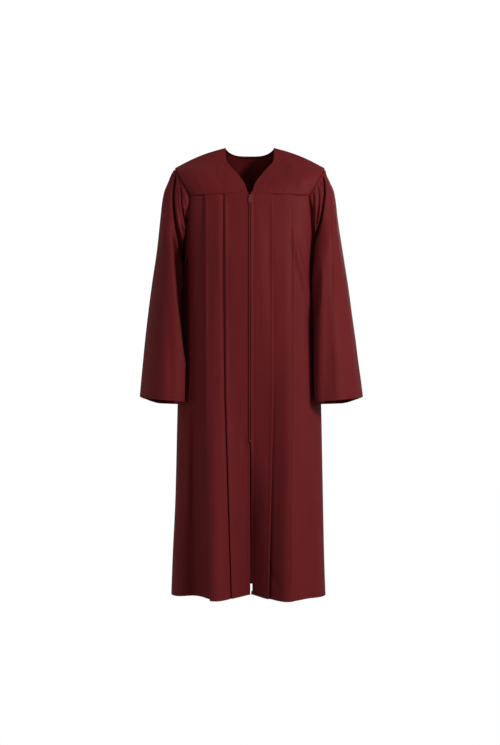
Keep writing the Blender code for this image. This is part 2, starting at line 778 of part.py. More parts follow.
def along_line(line, top, bottom):
    """The stretch of a falling line between two heights."""
    def at(z):
        index = next(i for i in range(len(line) - 1) if line[i + 1].z <= z)
        return line[index].lerp(line[index + 1], (line[index].z - z) / (line[index].z - line[index + 1].z))

    return [at(top)] + [point for point in line if bottom + SEAM < point.z < top - SEAM] + [at(bottom)]


def inward_steps(points):
    """Unit steps into the robe, square to a line, one for each of its points."""
    steps = []
    for i in range(len(points)):
        up = points[max(i - 1, 0)] - points[min(i + 1, len(points) - 1)]
        steps.append(Vector((0.0, up.z, -up.y)).normalized())
    return steps


def build_tape(side, sign, front, material):
    """A tape behind a front edge, made from that front's own points, moved in."""
    top, bottom = ZIP_TOP + TAPE_OVERRUN, ZIP_BOTTOM - TAPE_TAIL
    edges = along_line([row[0] for row in front], top, bottom)
    inner = along_line([row[1] for row in front], top, bottom)
    rows = []
    for edge, beside, step in zip(edges, inner, inward_steps(edges)):
        outer = edge.lerp(beside, (TAPE_WIDTH - abs(edge.x)) / (abs(beside.x) - abs(edge.x)))
        middle = Vector((sign * SEAM * 2, edge.y, edge.z))
        rows.append([point + step * (CLOTH / 2 + SEAM + TAPE / 2) for point in (middle, edge, outer)])
    build_wall("zip_tape_" + side, rows, material, thickness=TAPE)


def build_bar(name, line, top, bottom, half, depth, material):
    """A bar down the zip, its back just clear of the tapes."""
    points = along_line(line, top, bottom)
    rows = []
    for point, step in zip(points, inward_steps(points)):
        middle = point + step * (CLOTH / 2 - depth / 2)
        rows.append([middle + Vector((x, 0.0, 0.0)) for x in (-half, half)])
    build_wall(name, rows, material, thickness=depth)


def extrude_outline(bm, outline, axis, low, high):
    """A prism: an outline of pairs, extruded along x or y between two levels."""
    loops = []
    for level in (low, high):
        corners = [(level, a, b) if axis == "x" else (a, level, b) for a, b in outline]
        loops.append([bm.verts.new(corner) for corner in corners])
    first, second = loops
    bm.faces.new(first)
    bm.faces.new(second)
    for i in range(len(outline)):
        j = (i + 1) % len(outline)
        bm.faces.new((first[i], first[j], second[j], second[i]))
    bmesh.ops.recalc_face_normals(bm, faces=bm.faces)


def prism(name, outline, axis, low, high, material, origin, tilt, cutter=False):
    """A prism drawn in the zip's own frame: x across, -y out of the robe, z up along the zip."""
    bm = bmesh.new()
    extrude_outline(bm, outline, axis, low, high)
    piece = finish_mesh(name, bm, material)
    piece.location = origin
    piece.rotation_euler = (tilt, 0.0, 0.0)
    if cutter:
        piece.hide_render = True
        piece.display_type = "WIRE"
    return piece


def combine(piece, other, operation):
    modifier = piece.modifiers.new(other.name, "BOOLEAN")
    modifier.operation = operation
    modifier.object = other


def arc(radius_a, radius_b, centre, start, end, steps):
    """Points of an elliptic arc; angles in half turns from +a towards +b."""
    turns = [math.pi * lerp(start, end, i / steps) for i in range(steps + 1)]
    return [(centre[0] + radius_a * math.cos(t), centre[1] + radius_b * math.sin(t)) for t in turns]


def build_slider(origin, tilt, material):
    """Slider with rounded shoulders that narrows to its mouth, and the bridge for the tab."""
    outline = arc(SLIDER_HALF_TOP, SLIDER_CROWN, (0.0, -SLIDER_CROWN), 0.0, 1.0, 6)
    outline += [(-SLIDER_HALF_MOUTH, -SLIDER_LENGTH), (SLIDER_HALF_MOUTH, -SLIDER_LENGTH)]
    slider = prism("zip_slider", outline, "y", 0.0, SLIDER_DEPTH, material, origin, tilt)
    outer = arc(BRIDGE_OUTER, BRIDGE_OUTER, (TAB_SEAT, -PIVOT_DROP), 0.5, 1.5, BRIDGE_STEPS)
    inner = arc(BRIDGE_INNER, BRIDGE_INNER, (TAB_SEAT, -PIVOT_DROP), 1.5, 0.5, BRIDGE_STEPS)
    foot = SLIDER_DEPTH / 3
    ring = [(foot, outer[0][1])] + outer + [(foot, outer[-1][1]), (foot, inner[0][1])]
    ring += inner + [(foot, inner[-1][1])]
    arch = prism("bridge", ring, "x", -BRIDGE_HALF, BRIDGE_HALF, material, origin, tilt, cutter=True)
    combine(slider, arch, "UNION")


def build_tab(origin, tilt, material):
    """Pull tab: a plate with a round end, a window for the bridge and an oval grip hole."""
    top = TAB_BAR
    bottom = top - TAB_LENGTH
    shoulder = top - TAB_SHOULDER
    outline = [(-TAB_NECK, top), (TAB_NECK, top), (TAB_NECK, shoulder)]
    outline += arc(TAB_HALF, -TAB_HALF, (0.0, bottom + TAB_HALF), 0.0, 1.0, 8)
    outline += [(-TAB_NECK, shoulder)]
    half = TAB_DEPTH / 2
    tab = prism("zip_pull", outline, "y", -half, half, material, origin, tilt)
    window_top = -TAB_BAR
    window_foot = window_top - TAB_WINDOW_LENGTH
    window = [(-TAB_WINDOW_HALF, window_top), (TAB_WINDOW_HALF, window_top),
              (TAB_WINDOW_HALF, window_foot), (-TAB_WINDOW_HALF, window_foot)]
    hole = arc(GRIP_HALF, GRIP_TALL, (0.0, bottom + GRIP_RISE), 0.0, 11 / 6, 11)
    for name, shape in (("window", window), ("hole", hole)):
        cutter = prism(name, shape, "y", -3 * half, 3 * half, material, origin, tilt, cutter=True)
        combine(tab, cutter, "DIFFERENCE")


def build_zip(line, coil, paint):
    build_bar("zip_chain", line, ZIP_TOP - SLIDER_LENGTH - SEAM, ZIP_BOTTOM + STOP_HEIGHT + SEAM,
              CHAIN_HALF, CHAIN_DEPTH, coil)
    build_bar("zip_stop", line, ZIP_BOTTOM + STOP_HEIGHT, ZIP_BOTTOM,
              CHAIN_HALF + SEAM, STOP_DEPTH, coil)
    top, low = along_line(line, ZIP_TOP, ZIP_TOP - SLIDER_LENGTH)[:2]
    up = (top - low).normalized()
    tilt = -math.atan2(up.y, up.z)
    outward = Vector((0.0, -up.z, up.y))
    face = top + outward * (SLIDER_DEPTH - CLOTH / 2)
    build_slider(face, tilt, paint)
    build_tab(face - up * PIVOT_DROP - outward * TAB_SEAT, tilt, paint)


# ---------------------------------------------------------------- the robe
def main():
    for item in list(bpy.data.objects):
        bpy.data.objects.remove(item, do_unlink=True)
    robe = make_material("robe_cloth", ROBE_COLOUR, 0.62, 0.0)
    tape = make_material("zip_tape", TAPE_COLOUR, 0.75, 0.0)
    coil = make_material("zip_coil", TAPE_COLOUR, 0.45, 0.0)
    paint = make_material("zip_paint", SLIDER_COLOUR, 0.35, 0.2)

    back = build_back(robe)
    back_yoke = build_back_yoke(robe)
    fronts = []
    for side, sign in (("R", -1), ("L", 1)):
        front = build_front(side, sign, robe)
        front_yoke = build_front_yoke(side, sign, robe)
        build_sleeve(side, sign, armhole_loop(front_yoke, front, back, back_yoke, sign), robe)
        build_tape(side, sign, front[0], tape)
        fronts.append(front[0])
    build_zip(zip_line(*fronts), coil, paint)


main()
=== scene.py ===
"""Choir robe: fine cloth shells, zip, stitches, materials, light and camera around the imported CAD.

Units are metres, and millimetres in CREASES; +Z is up. The front faces -Y and +X is the wearer's left.
R and L are the wearer's.
"""

import json
import math
from collections import namedtuple

import bmesh
import bpy
import numpy as np
from mathutils import Matrix, Vector


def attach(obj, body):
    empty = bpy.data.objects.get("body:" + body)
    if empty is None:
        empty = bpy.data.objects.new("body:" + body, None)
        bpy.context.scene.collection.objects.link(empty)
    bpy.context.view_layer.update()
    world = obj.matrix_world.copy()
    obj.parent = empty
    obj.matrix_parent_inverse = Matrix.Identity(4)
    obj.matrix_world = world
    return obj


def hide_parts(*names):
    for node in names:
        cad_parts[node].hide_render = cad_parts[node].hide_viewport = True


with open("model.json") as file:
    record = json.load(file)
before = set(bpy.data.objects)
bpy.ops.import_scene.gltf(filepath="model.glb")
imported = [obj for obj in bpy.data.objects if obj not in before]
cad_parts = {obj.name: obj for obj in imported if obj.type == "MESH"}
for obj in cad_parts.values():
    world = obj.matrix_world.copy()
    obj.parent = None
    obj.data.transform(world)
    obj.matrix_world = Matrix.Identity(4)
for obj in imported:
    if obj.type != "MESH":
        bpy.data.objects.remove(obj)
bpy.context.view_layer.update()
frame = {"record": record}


def table(kind, *rows):
    return [kind(*row) for row in rows]


# ---------------------------------------------------------------- sizes, most of them shared with the CAD
SHELL = 0.0008          # the cloth here, thinner than the CAD's
UNDERLAY = 0.020        # cloth hidden in a pleat
CAD_CLOTH = 0.0020      # CLOTH in the CAD
CAD_SEAM = 0.0003       # and SEAM

SHOULDER = Vector((0.195, 0.002, -0.047))
NECK_POINT = Vector((0.0634, 0.012, 0.0075))
BACK_NECK_DEPTH = 0.058
NECK_RIDGE = 0.024
YOKE_CORNER_X = 0.151
YOKE_SEAM = -0.124
YOKE_SEAM_RISE = 0.006
BACK_SEAM = -0.135
UNDERARM = -0.300
HEM = -1.149
HEM_LIFT = 0.010
CHEST = Vector((0.0, 0.01, -0.20))
CUFF = -0.638
SLEEVE_GAP = 0.007
SLEEVE_SOFT = 0.006
YOKE_ROUND = 0.82
SHOULDER_ARCH = 0.006
CHEST_ROUND = 0.010
OPENING = 0.0045
ZIP_TOP = -0.1245
ZIP_BOTTOM = -0.753
SIDE_FADE = 0.12
STEP_REACH = 0.92
BACK_RISE_REACH = 0.19

Body = namedtuple("Body", "z right left front back power")
BODY = table(
    Body,
    (-0.120, 0.165, 0.165, 0.085, 0.098, 3.0),
    (-0.200, 0.167, 0.167, 0.108, 0.114, 2.8),
    (-0.300, 0.170, 0.171, 0.124, 0.126, 2.5),
    (-0.450, 0.178, 0.177, 0.130, 0.134, 2.4),
    (-0.650, 0.186, 0.184, 0.132, 0.140, 2.4),
    (-0.900, 0.192, 0.189, 0.132, 0.150, 2.4),
    (-1.050, 0.199, 0.192, 0.131, 0.156, 2.4),
    (-1.160, 0.203, 0.196, 0.130, 0.160, 2.4))

Fold = namedtuple("Fold", "x_top x_hem reach start depth")
FRONT_FOLDS = table(
    Fold,
    (0.000, 0.000, 0.075, -0.35, -0.026),
    (-0.092, -0.086, 0.060, -0.40, 0.025),
    (-0.140, -0.138, 0.050, -0.35, -0.018),
    (0.110, 0.102, 0.062, -0.40, 0.031))
BACK_FOLDS = table(
    Fold,
    (0.000, 0.000, 0.065, -0.40, -0.020),
    (-0.086, -0.094, 0.058, -0.35, 0.022),
    (0.084, 0.092, 0.060, -0.35, 0.024))

HemLine = namedtuple("HemLine", "x rise")
HEM_LINE = table(
    HemLine,
    (-0.200, 0.002), (-0.150, 0.005), (-0.085, 0.001), (-0.040, 0.004), (-0.015, 0.008), (0.000, 0.011),
    (0.015, 0.008), (0.040, 0.003), (0.090, -0.001), (0.150, 0.001), (0.200, 0.000))

# A pleat's steps and valley are this script's own. Its places are the CAD's, one up to 0.8 mm aside.
Pleat = namedtuple("Pleat", "x_seam x_middle x_hem step_seam step_hem valley")
PLEATS = {
    "front_R": table(Pleat, (0.0640, 0.0602, 0.0453, 0.0034, 0.0060, 0.016),
                    (0.1140, 0.1120, 0.1000, 0.0044, 0.0300, 1.0)),
    "front_L": table(Pleat, (0.0595, 0.0595, 0.0480, 0.0024, 0.0100, 0.040),
                    (0.1150, 0.1150, 0.1080, 0.0030, 0.0060, 1.0)),
    "back_R": table(Pleat, (0.0560, 0.0570, 0.0540, 0.0038, 0.0120, 0.030),
                    (0.1080, 0.1100, 0.1120, 0.0038, 0.0200, 1.0)),
    "back_L": table(Pleat, (0.0580, 0.0570, 0.0560, 0.0038, 0.0100, 0.030),
                    (0.1100, 0.1110, 0.1080, 0.0038, 0.0180, 1.0)),
}
FOLD_RADIUS_SEAM = 0.00065      # round of a pressed pleat edge, at the seam
FOLD_RADIUS_HEM = 0.00150       # and at the hem
EDGE_ROLL = 0.0012              # swell of the cloth beside a pressed edge
EDGE_ROLL_GROWTH = 0.030        # it grows over this length below the yoke seam

ArmholeEdge = namedtuple("ArmholeEdge", "z front back")
ARMHOLE = table(
    ArmholeEdge,
    (-0.110, 0.908, 0.925), (-0.124, 0.915, 0.930), (-0.160, 0.935, 0.940), (-0.200, 0.945, 0.948),
    (-0.240, 0.953, 0.957), (-0.270, 0.966, 0.970), (-0.290, 0.986, 0.988), (-0.300, 1.000, 1.000))

NeckEdge = namedtuple("NeckEdge", "half_width y z")
NECKLINE = table(
    NeckEdge,
    (0.0634, 0.012, 0.0075), (0.0609, -0.010, -0.0270), (0.0502, -0.026, -0.0444),
    (0.0357, -0.042, -0.0615), (0.0227, -0.057, -0.0785), (0.0128, -0.070, -0.0954),
    (0.0060, -0.083, -0.1180))

Sleeve = namedtuple("Sleeve", "z inner outer_right outer_left front back edge")
SLEEVE = table(
    Sleeve,
    (-0.047, 0.186, 0.199, 0.199, -0.020, 0.024, 2.7),
    (-0.065, 0.180, 0.208, 0.203, -0.036, 0.042, 2.7),
    (-0.080, 0.174, 0.213, 0.209, -0.048, 0.056, 2.6),
    (-0.111, 0.168, 0.2230, 0.2195, -0.064, 0.074, 2.4),
    (-0.171, 0.160, 0.2300, 0.2265, -0.082, 0.090, 2.2),
    (-0.254, 0.147, 0.2395, 0.2385, -0.095, 0.100, 2.0),
    (-0.336, 0.142, 0.2510, 0.2520, -0.102, 0.108, 1.85),
    (-0.419, 0.141, 0.2620, 0.2640, -0.106, 0.116, 1.75),
    (-0.502, 0.141, 0.2725, 0.2755, -0.108, 0.125, 1.7),
    (-0.585, 0.141, 0.2805, 0.2865, -0.109, 0.134, 1.7),
    (-0.690, 0.141, 0.2890, 0.3000, -0.110, 0.143, 1.7))
SLEEVE_POWER = 2.7
CROWN_DROP = 0.100

Cuff = namedtuple("Cuff", "turn drop")
CUFF_EDGE = table(
    Cuff,
    (0.00, 0.000), (0.12, 0.003), (0.25, 0.008), (0.38, 0.0125), (0.50, 0.017), (0.65, 0.022),
    (0.80, 0.020), (0.92, 0.008), (1.00, 0.000))


# ---------------------------------------------------------------- small helpers
def lerp(a, b, share):
    return a + (b - a) * share


def clamp(value, low=0.0, high=1.0):
    return max(low, min(high, value))


def smooth(share):
    share = clamp(share)
    return share * share * (3.0 - 2.0 * share)


def soft(share):
    """smooth() for arrays."""
    share = np.clip(share, 0.0, 1.0)
    return share * share * (3.0 - 2.0 * share)


def band(at, low, rise, high, fall):
    """1 from low to high and 0 outside, with soft ends that lie inside them."""
    return soft((at - low) / rise) * soft((high - at) / fall)


def bump(distance):
    return 0.5 * (1.0 + math.cos(math.pi * distance)) if abs(distance) < 1.0 else 0.0


_curves = {}


def read_table(table, key, column, at):
    """Value of a column where the key column equals `at`, on a smooth curve through the rows."""
    name = (id(table), key, column)
    if name not in _curves:
        keys = [getattr(row, key) for row in table]
        values = [getattr(row, column) for row in table]
        if keys[0] > keys[-1]:
            keys.reverse()
            values.reverse()
        slopes = [(values[i + 1] - values[i]) / (keys[i + 1] - keys[i])
                  for i in range(len(keys) - 1)]
        tangents = [slopes[0]]
        for before, after in zip(slopes, slopes[1:]):
            tangents.append(2.0 * before * after / (before + after) if before * after > 0 else 0.0)
        tangents.append(slopes[-1])
        _curves[name] = (keys, values, tangents)
    keys, values, tangents = _curves[name]
    at = clamp(at, keys[0], keys[-1])
    index = 0
    while index < len(keys) - 2 and at > keys[index + 1]:
        index += 1
    span = keys[index + 1] - keys[index]
    t = (at - keys[index]) / span
    rise = t * t * (3 - 2 * t)
    leave, arrive = tangents[index:index + 2]
    return (lerp(values[index], values[index + 1], rise)
            + span * (1 - t) * t * ((1 - t) * leave - t * arrive))


def spline(before, a, b, after, t):
    """Between a and b on the smooth curve through four places."""
    return 0.5 * (2 * a + (b - before) * t + (2 * before - 5 * a + 4 * b - after) * t ** 2
                  + (3 * a - before - 3 * b + after) * t ** 3)


def spread(start, end, count, near_start=(), near_end=()):
    """A fixed number of places from start to end, with given closer ones near both."""
    way = 1.0 if end > start else -1.0
    first = start + way * (near_start[-1] if near_start else 0.0)
    last = end - way * (near_end[-1] if near_end else 0.0)
    inside = range(1 if near_start else 0, count if near_end else count + 1)
    return ([start + way * d for d in near_start] + [lerp(first, last, i / count) for i in inside]
            + [end - way * d for d in reversed(near_end)])


def stations(start, end, step, near_start=(), near_end=()):
    """Places from start to end about a step apart, with given closer ones near both ends."""
    between = abs(end - start) - sum(near[-1] for near in (near_start, near_end) if near)
    return spread(start, end, max(2, round(between / step)), near_start, near_end)


def unit(vectors):
    """Vectors of length one, along the last axis."""
    return vectors / np.maximum(np.linalg.norm(vectors, axis=-1, keepdims=True), 1e-12)


def run_along(line):
    """Distance of each point of a polyline, or of each line of a grid, from its first."""
    steps = np.linalg.norm(np.diff(line, axis=0), axis=-1)
    return np.concatenate((np.zeros((1,) + steps.shape[1:]), np.cumsum(steps, axis=0)))


def resample(at, run, line):
    """Points of a polyline at given distances."""
    return np.stack([np.interp(at, run, line[:, k]) for k in range(3)], -1)


def side_name(facing):
    return "front" if facing < 0 else "back"


# ---------------------------------------------------------------- the body's surface
def skirt_share(z):
    return clamp((YOKE_SEAM - z) / (YOKE_SEAM - HEM))


def half_width(sign, z):
    return read_table(BODY, "z", "left" if sign > 0 else "right", z)


def outline_y(x, z, facing):
    power = read_table(BODY, "z", "power", z)
    depth = read_table(BODY, "z", side_name(facing), z)
    share = min(1.0, abs(x) / half_width(x, z))
    return facing * depth * (1.0 - share ** power) ** (1.0 / power)


def fold_height(x, z, folds):
    total = 0.0
    for fold in folds:
        centre = lerp(fold.x_top, fold.x_hem, skirt_share(z))
        growth = clamp((fold.start - z) / (fold.start - HEM)) ** 1.2
        total += fold.depth * growth * bump((x - centre) / fold.reach)
    return total


def surface_y(x, z, facing):
    folds = FRONT_FOLDS if facing < 0 else BACK_FOLDS
    side_fade = smooth((1.0 - abs(x) / half_width(x, z)) / SIDE_FADE)
    return outline_y(x, z, facing) + facing * side_fade * fold_height(x, z, folds)


def pleat_x(pleat, z):
    share = skirt_share(z)
    if share < 0.5:
        return lerp(pleat.x_seam, pleat.x_middle, share / 0.5)
    return lerp(pleat.x_middle, pleat.x_hem, (share - 0.5) / 0.5)


def pleat_step(pleat, z):
    return lerp(pleat.step_seam, pleat.step_hem, skirt_share(z) ** 1.6)


def row_height(x, z, facing):
    share = skirt_share(z)
    if facing < 0:
        hem_rise = read_table(HEM_LINE, "x", "rise", x)
        seam_rise = YOKE_SEAM_RISE * clamp(1.0 - abs(x) / YOKE_CORNER_X)
    else:
        hem_rise = HEM_LIFT * smooth(1.0 - abs(x) / BACK_RISE_REACH)
        seam_rise = BACK_SEAM - YOKE_SEAM
    return z + hem_rise * share ** 3 + seam_rise * (1.0 - share) ** 3


# ---------------------------------------------------------------- creases
# A crease follows places x, z as seen from the front, all in millimetres. Its soft slopes reach left
# and right of them, as seen, and its depth is inwards: troughs are positive, ridges negative. A place
# without a depth is level with the cloth. The floor stays level over `flat` to the right, or to the
# left where flat is negative.
Crease = namedtuple("Crease", "flat ways")
MM = 0.001


def crease(*ways, flat=0):
    """Ways are (x, z, left, right, depth)."""
    return Crease(flat * MM, np.array([(way + (0,))[:5] for way in ways]) * MM)


def even(left, right, *ways, flat=0):
    """A crease that reaches as far left and right all along; ways are (x, z, depth)."""
    return crease(*[way[:2] + (left, right) + way[2:] for way in ways], flat=flat)


CREASES = {
    "front_R": (
        crease((-114, -160, 30, 40), (-114, -300, 30, 45, -3), (-112, -500, 22, 45, -6),
            (-109, -800, 20, 45, -9), (-104, -1000, 22, 45, -11), (-100, -1160, 24, 45, -11)),
        crease((-161, -190, 6, 5), (-159.5, -240, 6, 5, 12), (-158.2, -300, 6, 5.5, 24),
            (-158, -420, 6, 5.5, 26), (-158.5, -540, 6, 5.5, 18), (-160, -640, 6, 6), flat=-30),
        even(16, 14, (-157, -640), (-156, -760, -4.5), (-157, -880, -4.5), (-160, -1010)),
        even(10, 9, (-14, -730), (-14.5, -758, 1.4), (-15.5, -790)),
        even(12, 12, (-98, -240), (-100, -420, 1.2), (-97, -600)),
        even(10, 12, (-78, -150), (-80, -260, -1), (-77, -400)),
    ),
    "front_L": (
        crease((116, -160, 45, 16), (116, -300, 45, 16, -3), (115, -500, 45, 14, -5),
            (113, -800, 45, 14, -4), (109, -1160, 45, 14, -3.4)),
        even(6, 6, (160, -190), (158.5, -250, 8), (157.5, -320, 14), (157.5, -440, 16), (158, -560, 12),
            (160, -660), flat=30),
        crease((114, -205, 16, 6), (116.5, -227, 18, 6, -2.7), (124.1, -270, 20, 7, -6.1),
            (134.1, -310, 20, 7, -7.8), (141.7, -340, 20, 7, -7.8), (149.2, -373, 18, 7, -6.8),
            (156.8, -416, 16, 6, -5.1), (163, -460, 14, 6)),
        even(16, 12, (151.8, -720), (157, -830, -4), (163, -922, -4), (164, -1040)),
        even(8, 7, (13, -735), (12.5, -762, 1.6), (12.2, -790)),
        even(10, 12, (49, -1050), (56, -1078, 4.8), (66, -1102, 4.8), (76, -1130)),
        crease((0, -765, 10, 30), (0, -830, 10, 42, 7), (0, -920, 10, 46, 14), (0, -1020, 10, 46, 16),
            (0, -1150, 10, 46, 14)),
        even(20, 12, (50, -130), (51, -330, 1.8), (50, -520)),
        even(12, 10, (104, -150), (105, -380, 1.4), (103, -600)),
    ),
    "yoke_front_R": (
        even(12, 12, (-66, -30), (-67, -62, 1.8), (-74, -94)),
        even(14, 12, (-150, -64), (-128, -92, -1.2), (-110, -116)),
    ),
    "yoke_front_L": (
        even(14, 12, (90, -24), (86, -60, 1.2), (96, -100)),
        even(12, 14, (150, -60), (134, -90, -1.2), (122, -116)),
    ),
    "sleeve_R": (
        crease((-190.5, -58, 3, 3), (-191.2, -72, 3.6, 4, 13.5), (-195, -107, 5, 5.5, 19.5),
            (-195.2, -140, 5.5, 6, 22.5), (-192.5, -170, 6, 7, 25.5), (-188, -205, 6.5, 8.5, 28.5),
            (-181.5, -240, 7, 11, 27), (-175, -275, 6, 12, 12), (-170, -305, 6, 12)),
        crease((-193, -200, 5.5, 12), (-195.5, -235, 5, 14, 20), (-193.5, -272, 4.8, 20, 60),
            (-190, -315, 4.6, 20, 70), (-186.6, -350, 4.6, 20, 72), (-182, -400, 4.6, 20, 70),
            (-174.5, -457, 4.6, 20, 60), (-167, -516, 4.6, 20, 46), (-158, -574, 4.6, 20, 30),
            (-154.5, -670, 4.6, 20, 16), flat=40),
        crease((-179, -85, 4, 3), (-179, -112, 5, 4, -5.1), (-175, -158, 5, 4, -6.7),
            (-167.2, -208, 5, 4, -6.7), (-160, -248, 4, 4, -4.5), (-156, -275, 4, 4)),
        crease((-182.5, -78, 2, 2), (-179.8, -90, 2.5, 2.5, 7.5), (-176.8, -112, 3, 3, 10.5),
            (-175.8, -137, 3.8, 3.5, 12.8), (-169, -180, 5, 4, 15), (-160, -220, 5, 4, 16.5),
            (-156, -247, 5, 4, 9), (-154, -268, 4, 4)),
        crease((-177.5, -86, 3, 3), (-173, -101, 4, 3, -3.3), (-165.5, -127, 4, 3, -4.2),
            (-161, -150, 3.5, 3, -3.3), (-159, -172, 3, 3)),
        crease((-216.5, -110, 6, 6), (-218.4, -160, 6, 6, -2.2), (-220.9, -208, 6, 6, -3.2),
            (-220, -260, 6, 6, -2.6), (-221.5, -330, 8, 8, -1.2), (-224, -400, 8, 8)),
        even(16, 18, (-214, -300), (-207, -440, 1.4), (-200, -560, 1.4), (-194, -680)),
    ),
    "sleeve_L": (
        crease((185, -58, 3, 3), (186.5, -67, 3, 3, 9), (190.1, -81, 3, 2.8, 16.5),
            (191.7, -112, 3.4, 3, 19.5), (188.3, -143, 4.2, 3.5, 21), (182.2, -183, 6, 4, 24),
            (174.6, -217, 8, 4.5, 24), (166, -250, 11, 5, 22), (159, -283, 11, 5, 16), (155, -315, 8, 5, 8),
            (153.5, -345, 6, 5)),
        crease((174.5, -78, 1.8, 1.8), (177.5, -83, 2, 2, 6), (181.2, -91, 2.2, 2.2, 6),
            (183.5, -103, 2.5, 2.5, 3.3), (184.2, -118, 2.8, 2.8)),
        crease((168, -91, 1.8, 1.8), (171.5, -95.5, 2, 2, 6.3), (175, -102, 2.2, 2.2, 6.9),
            (176.8, -117, 2.8, 2.8, 6.6), (177, -138, 3.5, 3.5, 7.5), (175.2, -162, 4, 4, 7.5),
            (170.5, -194, 4, 4, 4.5), (166, -222, 4, 4)),
        crease((160.8, -111, 1.8, 1.8), (162.5, -120, 2, 2, 6.7), (163.8, -130, 2.2, 2.2, 6.7),
            (164.1, -147, 2.5, 2.5, 4.5), (163, -166, 3, 3, 2.3), (161, -188, 3, 3)),
        crease((153.5, -126, 1.8, 1.8), (155, -140, 2, 2, 4.5), (156.8, -158, 2.5, 2.5, 6),
            (157.8, -180, 3, 3, 4.5), (157.2, -206, 3, 3)),
        crease((166.5, -112, 3, 3), (167.5, -126, 3, 3, -2.1), (168.2, -159, 4, 4, -3.7),
            (165.2, -208, 4, 4, -5.1), (159.8, -250, 4, 4, -4.5), (157, -278, 4, 4)),
        crease((208, -130, 5, 6), (210.3, -167, 5, 6, -2), (213.3, -251, 5, 6, -3), (213.3, -330, 5, 6, -3),
            (213.8, -410, 6, 7, -1.4), (214.5, -480, 7, 8)),
        crease((174, -280, 10, 12), (173.5, -318, 10, 12, 4), (172.2, -355, 10, 11, 11),
            (171.2, -391, 10, 10, 17), (169.8, -419, 10, 8, 21), (166, -457, 10, 6, 23),
            (163, -516, 10, 5.5, 22), (159.7, -592, 10, 5, 18), (156, -680, 10, 5, 13), flat=-30),
        even(14, 22, (185, -290), (182, -360, -4), (178, -440, -6), (174, -560, -6), (170, -680, -4)),
        even(18, 16, (218, -300), (213, -440, 1.2), (205, -560, 1.2), (202, -680)),
    ),
    "back": (
        even(16, 14, (-150, -600), (-156, -780, -4), (-160, -960)),
        even(14, 16, (148, -560), (155, -760, -4), (159, -940)),
        even(14, 14, (-142, -160), (-134, -260, 2.6), (-137, -430)),
        even(14, 14, (143, -160), (136, -250, 2.6), (139, -410)),
        even(16, 16, (-31, -180), (-27, -380, 1.8), (-31, -620)),
        even(16, 16, (34, -170), (31, -340, 1.8), (35, -560)),
        even(14, 14, (84, -170), (86, -340, -1.4), (82, -560)),
    ),
    "sleeve_R_back": (
        crease((-188, -60, 6, 6), (-191.5, -90, 7, 7, 8), (-193, -130, 8, 8, 13), (-188, -190, 9, 9, 14),
            (-178, -250, 9, 9, 10), (-166, -320, 9, 9)),
        crease((-176.5, -74, 4, 4), (-174.5, -110, 5, 5, 6), (-169, -165, 6, 6, 8), (-160, -222, 6, 6)),
        even(18, 16, (-221, -150), (-226, -320, -3), (-233, -500)),
        even(18, 16, (-206, -300), (-200, -460, 2.8), (-196, -670, 1.4)),
    ),
    "sleeve_L_back": (
        crease((187, -60, 6, 6), (190.5, -88, 7, 7, 8), (191.5, -126, 8, 8, 13), (187, -182, 9, 9, 14),
            (178, -236, 9, 9, 10), (166, -305, 9, 9)),
        crease((175.5, -78, 4, 4), (174.2, -116, 5, 5, 6), (168, -172, 6, 6, 8), (160, -226, 6, 6)),
        even(16, 18, (219, -140), (226, -300, -3), (235, -480)),
        even(16, 18, (207, -310), (202, -480, 2.8), (199, -680, 1.4)),
    ),
}
CREASE_PARTS = 6        # steps of the smooth curve between two of a crease's places
CREASE_LEAST = 0.0012   # least reach to a side


def crease_path(ways):
    """A smooth curve through a crease's places."""
    padded = np.concatenate((2 * ways[:1] - ways[1:2], ways, 2 * ways[-1:] - ways[-2:-1]))
    t = (np.arange(CREASE_PARTS) / CREASE_PARTS)[:, None]
    path = [spline(*padded[i:i + 4], t) for i in range(len(ways) - 1)]
    path = np.concatenate(path + [ways[-1:]])
    path[:, 2:4] = np.maximum(path[:, 2:4], CREASE_LEAST)
    return path


def crease_field(x, z, mark):
    """Depth of one crease at arrays of x and z."""
    path = crease_path(mark.ways)
    best = np.full(x.shape, 1e9)
    side = np.zeros(x.shape)
    values = np.zeros((3,) + x.shape)
    for start, end in zip(path, path[1:]):
        run_x, run_z = end[:2] - start[:2]
        length = math.hypot(run_x, run_z)
        from_x, from_z = x - start[0], z - start[1]
        held = np.clip((from_x * run_x + from_z * run_z) / length ** 2, 0.0, 1.0)
        gap = np.hypot(from_x - held * run_x, from_z - held * run_z)
        nearer = gap < best
        best = np.where(nearer, gap, best)
        # runs go downwards, so a point to the left as seen has a negative cross product
        side = np.where(nearer, from_z * run_x - from_x * run_z, side)
        for k in range(3):
            values[k] = np.where(nearer, lerp(start[2 + k], end[2 + k], held), values[k])
    left, right, depth = values
    level = np.where((side < 0.0) == (mark.flat < 0.0), abs(mark.flat), 0.0)
    near = np.clip((best - level) / np.where(side < 0.0, left, right), 0.0, 1.0)
    return depth * 0.5 * (1.0 + np.cos(np.pi * near))


def press(points, marks, facing, weight):
    """Push points in, straight away from the side that faces `facing`, by that side's creases."""
    moved = points.copy()
    for mark in marks:
        moved[..., 1] -= facing * weight * crease_field(points[..., 0], points[..., 2], mark)
    return moved


def drape(points, normals, amount, seed):
    """Very soft uneven waves, long down the cloth, that no pressed cloth is without."""
    x, y, z = np.moveaxis(points, -1, 0)
    around = x + y * 0.6
    wave = (np.sin(around * 96.0 + z * 5.1 + seed) * np.sin(z * 8.3 + seed * 2.1)
            + 0.7 * np.sin(around * 171.0 - z * 9.0 + seed * 1.7) * np.sin(z * 15.7 + seed * 0.6 + 1.0)
            + 0.5 * np.sin(around * 41.0 + z * 21.0 + seed * 0.9))
    return points + normals * (amount * wave)[..., None]


